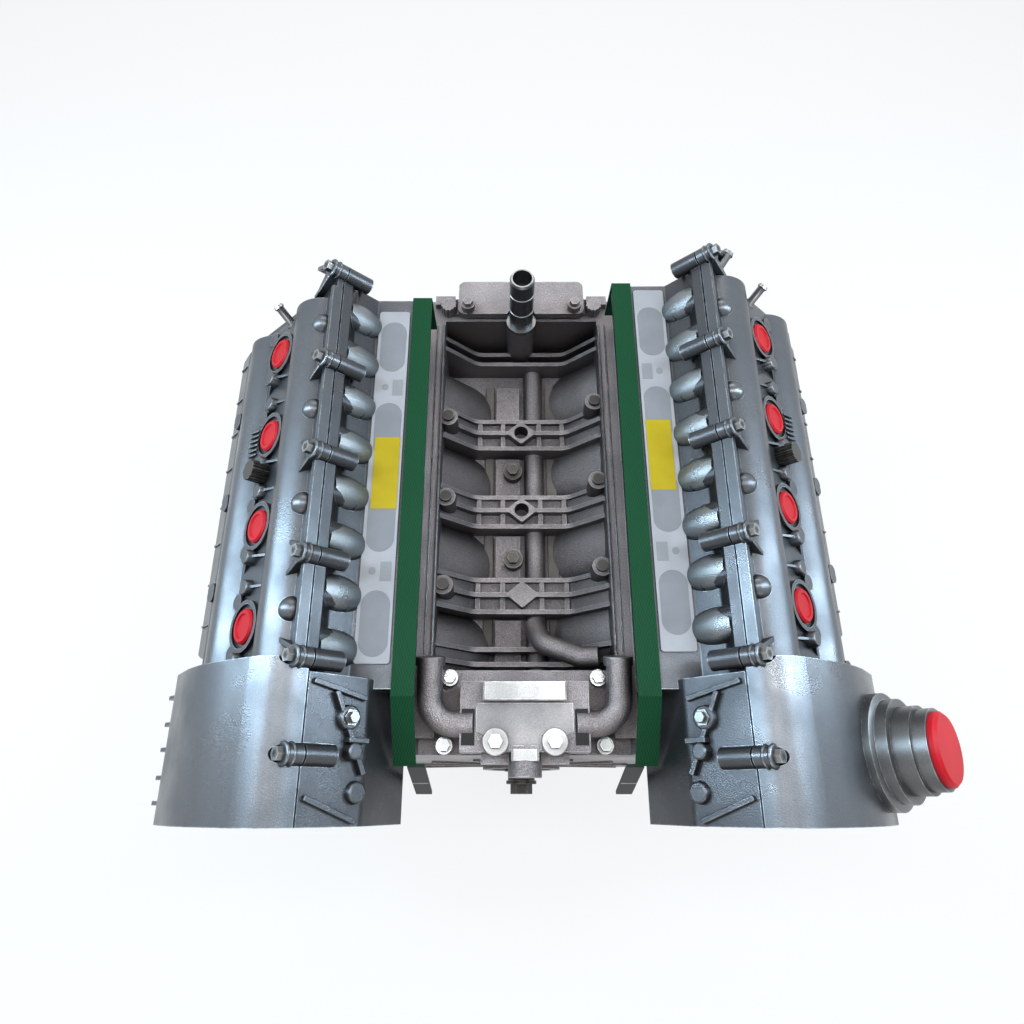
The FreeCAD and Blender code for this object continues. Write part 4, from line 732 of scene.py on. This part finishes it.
def head_front_details():
    """Ribs, a bolted foot and a round boss on the valley-side wall of each head's timing chamber."""
    for side in SIGN:
        s = SIGN[side]
        out = np.array([-s * R2, 0.0, R2])
        ribs = Piece(f"head_front_ribs_{side}", MAT["head_aluminium"], "head_aluminium")
        for start, end, proud in (((0.304, -0.548), (0.336, -0.482), 0.006),
                                  ((0.304, -0.486), (0.358, -0.475), 0.004),
                                  ((0.309, -0.584), (0.358, -0.566), 0.004),
                                  ((0.302, -0.521), (0.322, -0.521), 0.008)):
            ribs.add(*side_rib(side, start, end, HEAD_WALL_O, proud, 0.0022))
        for h, y, radius, proud in ((0.3215, -0.503, 0.0100, 0.007), (0.309, -0.562, 0.0085, 0.006),
                                    (0.316, -0.530, 0.0070, 0.010)):
            start = bank_point(HEAD_WALL_O + 0.001, y, h, side)
            ribs.add(*turned([(0, radius * 1.12), (proud, radius), (proud + 0.001, radius - 0.001)], start, out, 28))
        ribs.make(bevel=0.0008)
        bolt = Piece(f"head_front_bolt_{side}", MAT["zinc_bolt"], "zinc_bolt")
        start = bank_point(HEAD_WALL_O - 0.007, -0.503, 0.3215, side)
        bolt.add(*turned([(0, 0.0072), (0.0012, 0.0072), (0.0012, 0.0052), (0.0055, 0.0050), (0.0060, 0.0044)],
                         start, out, 6))
        bolt.make()


head_front_details()


# ------------------------------------------------------------------ valley and front details
MAT["sandy_casting"] = cast_metal("sandy_casting", (0.27, 0.25, 0.23), (0.03, 0.03, 0.03), (0.5, 0.5, 0.5), 0.55,
                                  grain=1500.0, bump=0.9)
MAT["face_milled"] = cast_metal("face_milled", (0.42, 0.42, 0.42), (0.2, 0.2, 0.2), (0.8, 0.8, 0.8), 0.40, bump=0.1)
MAT["face_cast"] = cast_metal("face_cast", (0.26, 0.255, 0.26), (0.08, 0.08, 0.08), (0.7, 0.7, 0.7), 0.45, bump=0.2)


def valley_details():
    """Sandy flats beside the gallery, thin beads along both rails, and knurled blocks in the rear corners."""
    flats = Piece("valley_flats", MAT["sandy_casting"], "cast_aluminium")
    middle = [0.5 * (a + b) for a, b in zip(CYL_Y["left"], CYL_Y["right"])]
    for y in middle:
        for x0, x1 in ((-0.044, -0.033), (0.031, 0.044)):
            flats.add(*block(x0, x1, y - 0.031, y + 0.031, 0.1145, 0.1175))
    flats.make(bevel=0.001)
    beads = Piece("rail_beads", MAT["head_aluminium"], "cast_aluminium")
    for s in (-1, 1):
        beads.add(*block(s * 0.0922, s * 0.0945, -0.440, -0.036, 0.1995, 0.2030))
        beads.add(*block(s * 0.1005, s * 0.1020, -0.452, -0.036, 0.1995, 0.2012))
    beads.make(bevel=0.0006)
    corners = Piece("rear_corner_blocks", MAT["cast_aluminium"], "cast_aluminium")
    t = np.linspace(0, 2 * np.pi, 48, endpoint=False)
    knurl = 0.0085 + 0.0007 * np.sign(np.sin(12 * t))
    for s in (-1, 1):
        ring = np.stack([s * 0.0875 + knurl * np.cos(t), -0.016 + knurl * np.sin(t)], axis=1)
        corners.add(*slab(ring, 0.200, 0.216))
        corners.add(*block(s * 0.080, s * 0.104, -0.012, 0.0, 0.198, 0.210))
    corners.make()


valley_details()


def front_details():
    """Milled strip and round seats on the coolant crossover, and painted shadow beside it: flat black sheets where the
    pockets lie in shade.
    """
    bright = Piece("crossover_milled_faces", MAT["face_milled"], "pump_alloy")
    for half, y0, y1, level in ((0.0385, -0.4790, -0.4625, 0.2288), (0.011, -0.5335, -0.5235, 0.2238)):
        bright.add(*block(-half, half, y0, y1, level, level + SKIN))
    face = Piece("crossover_top_face", MAT["face_cast"], "pump_alloy")
    face.add(*slab([(-0.0465, -0.4815), (0.0465, -0.4815), (0.0465, -0.507), (0.040, -0.5105), (0.0155, -0.5105),
                    (0.0155, -0.5245), (-0.0155, -0.5245), (-0.0155, -0.5105), (-0.040, -0.5105), (-0.0465, -0.507)],
                   CROSSOVER_TOP, CROSSOVER_TOP + SKIN))
    face.make()
    for x in (-0.028, 0.028):
        bright.add(*turned([(0, 0.0125), (0.0016, 0.0125), (0.0022, 0.0118)], (x, -0.517, 0.2258), (0, 0, 1), 40))
    bright.make()
    # painted shadow: flat black sheets in the pockets beside the crossover
    pocket_shadows = Piece("crossover_pocket_shadows", MAT["black_plastic"], "black_plastic")
    for s in (-1, 1):
        pocket_shadows.add(*block(s * 0.0480, s * 0.0605, -0.520, -0.487, CROSSOVER_TOP, CROSSOVER_TOP + SKIN))
    pocket_shadows.make(smooth=False)


front_details()


def shield_ticks():
    """Short pressed ribs across the outer edge of each heat shield, at an even pitch."""
    for side in SIGN:
        s = SIGN[side]
        ticks = Piece(f"shield_ribs_{side}", MAT["shield_sheet"], "shield_sheet")
        first, pitch = (-0.050 if side == "left" else -0.032), 0.048
        for n in range(8):
            y = first - pitch * n
            points, faces = slab([(s * 0.324, 0.1405), (s * 0.350, 0.1295), (s * 0.364, 0.1128),
                                  (s * 0.3655, 0.1145), (s * 0.3513, 0.1322), (s * 0.3245, 0.1430)],
                                 y - 0.0011, y + 0.0011)
            ticks.add(points[:, [0, 2, 1]], faces)
        ticks.make(smooth=False)


shield_ticks()


def ring_gear():
    """Starter ring teeth on the flexplate: radius = root + square wave of the tooth angle."""
    teeth, root, depth = 132, 0.1495, 0.0035
    t = np.linspace(0, 2 * np.pi, teeth * 4, endpoint=False)
    wave = (np.arange(teeth * 4) % 4 < 2).astype(float)
    radius = root + depth * wave
    pts, faces = slab(np.stack([radius * np.cos(t), radius * np.sin(t)], axis=1), 0.0025, 0.0118)
    gear = Piece("ring_gear_teeth", MAT["machined_steel"], "machined_steel", "crank")
    gear.add(pts[:, [0, 2, 1]], faces)
    gear.make(smooth=False)


ring_gear()
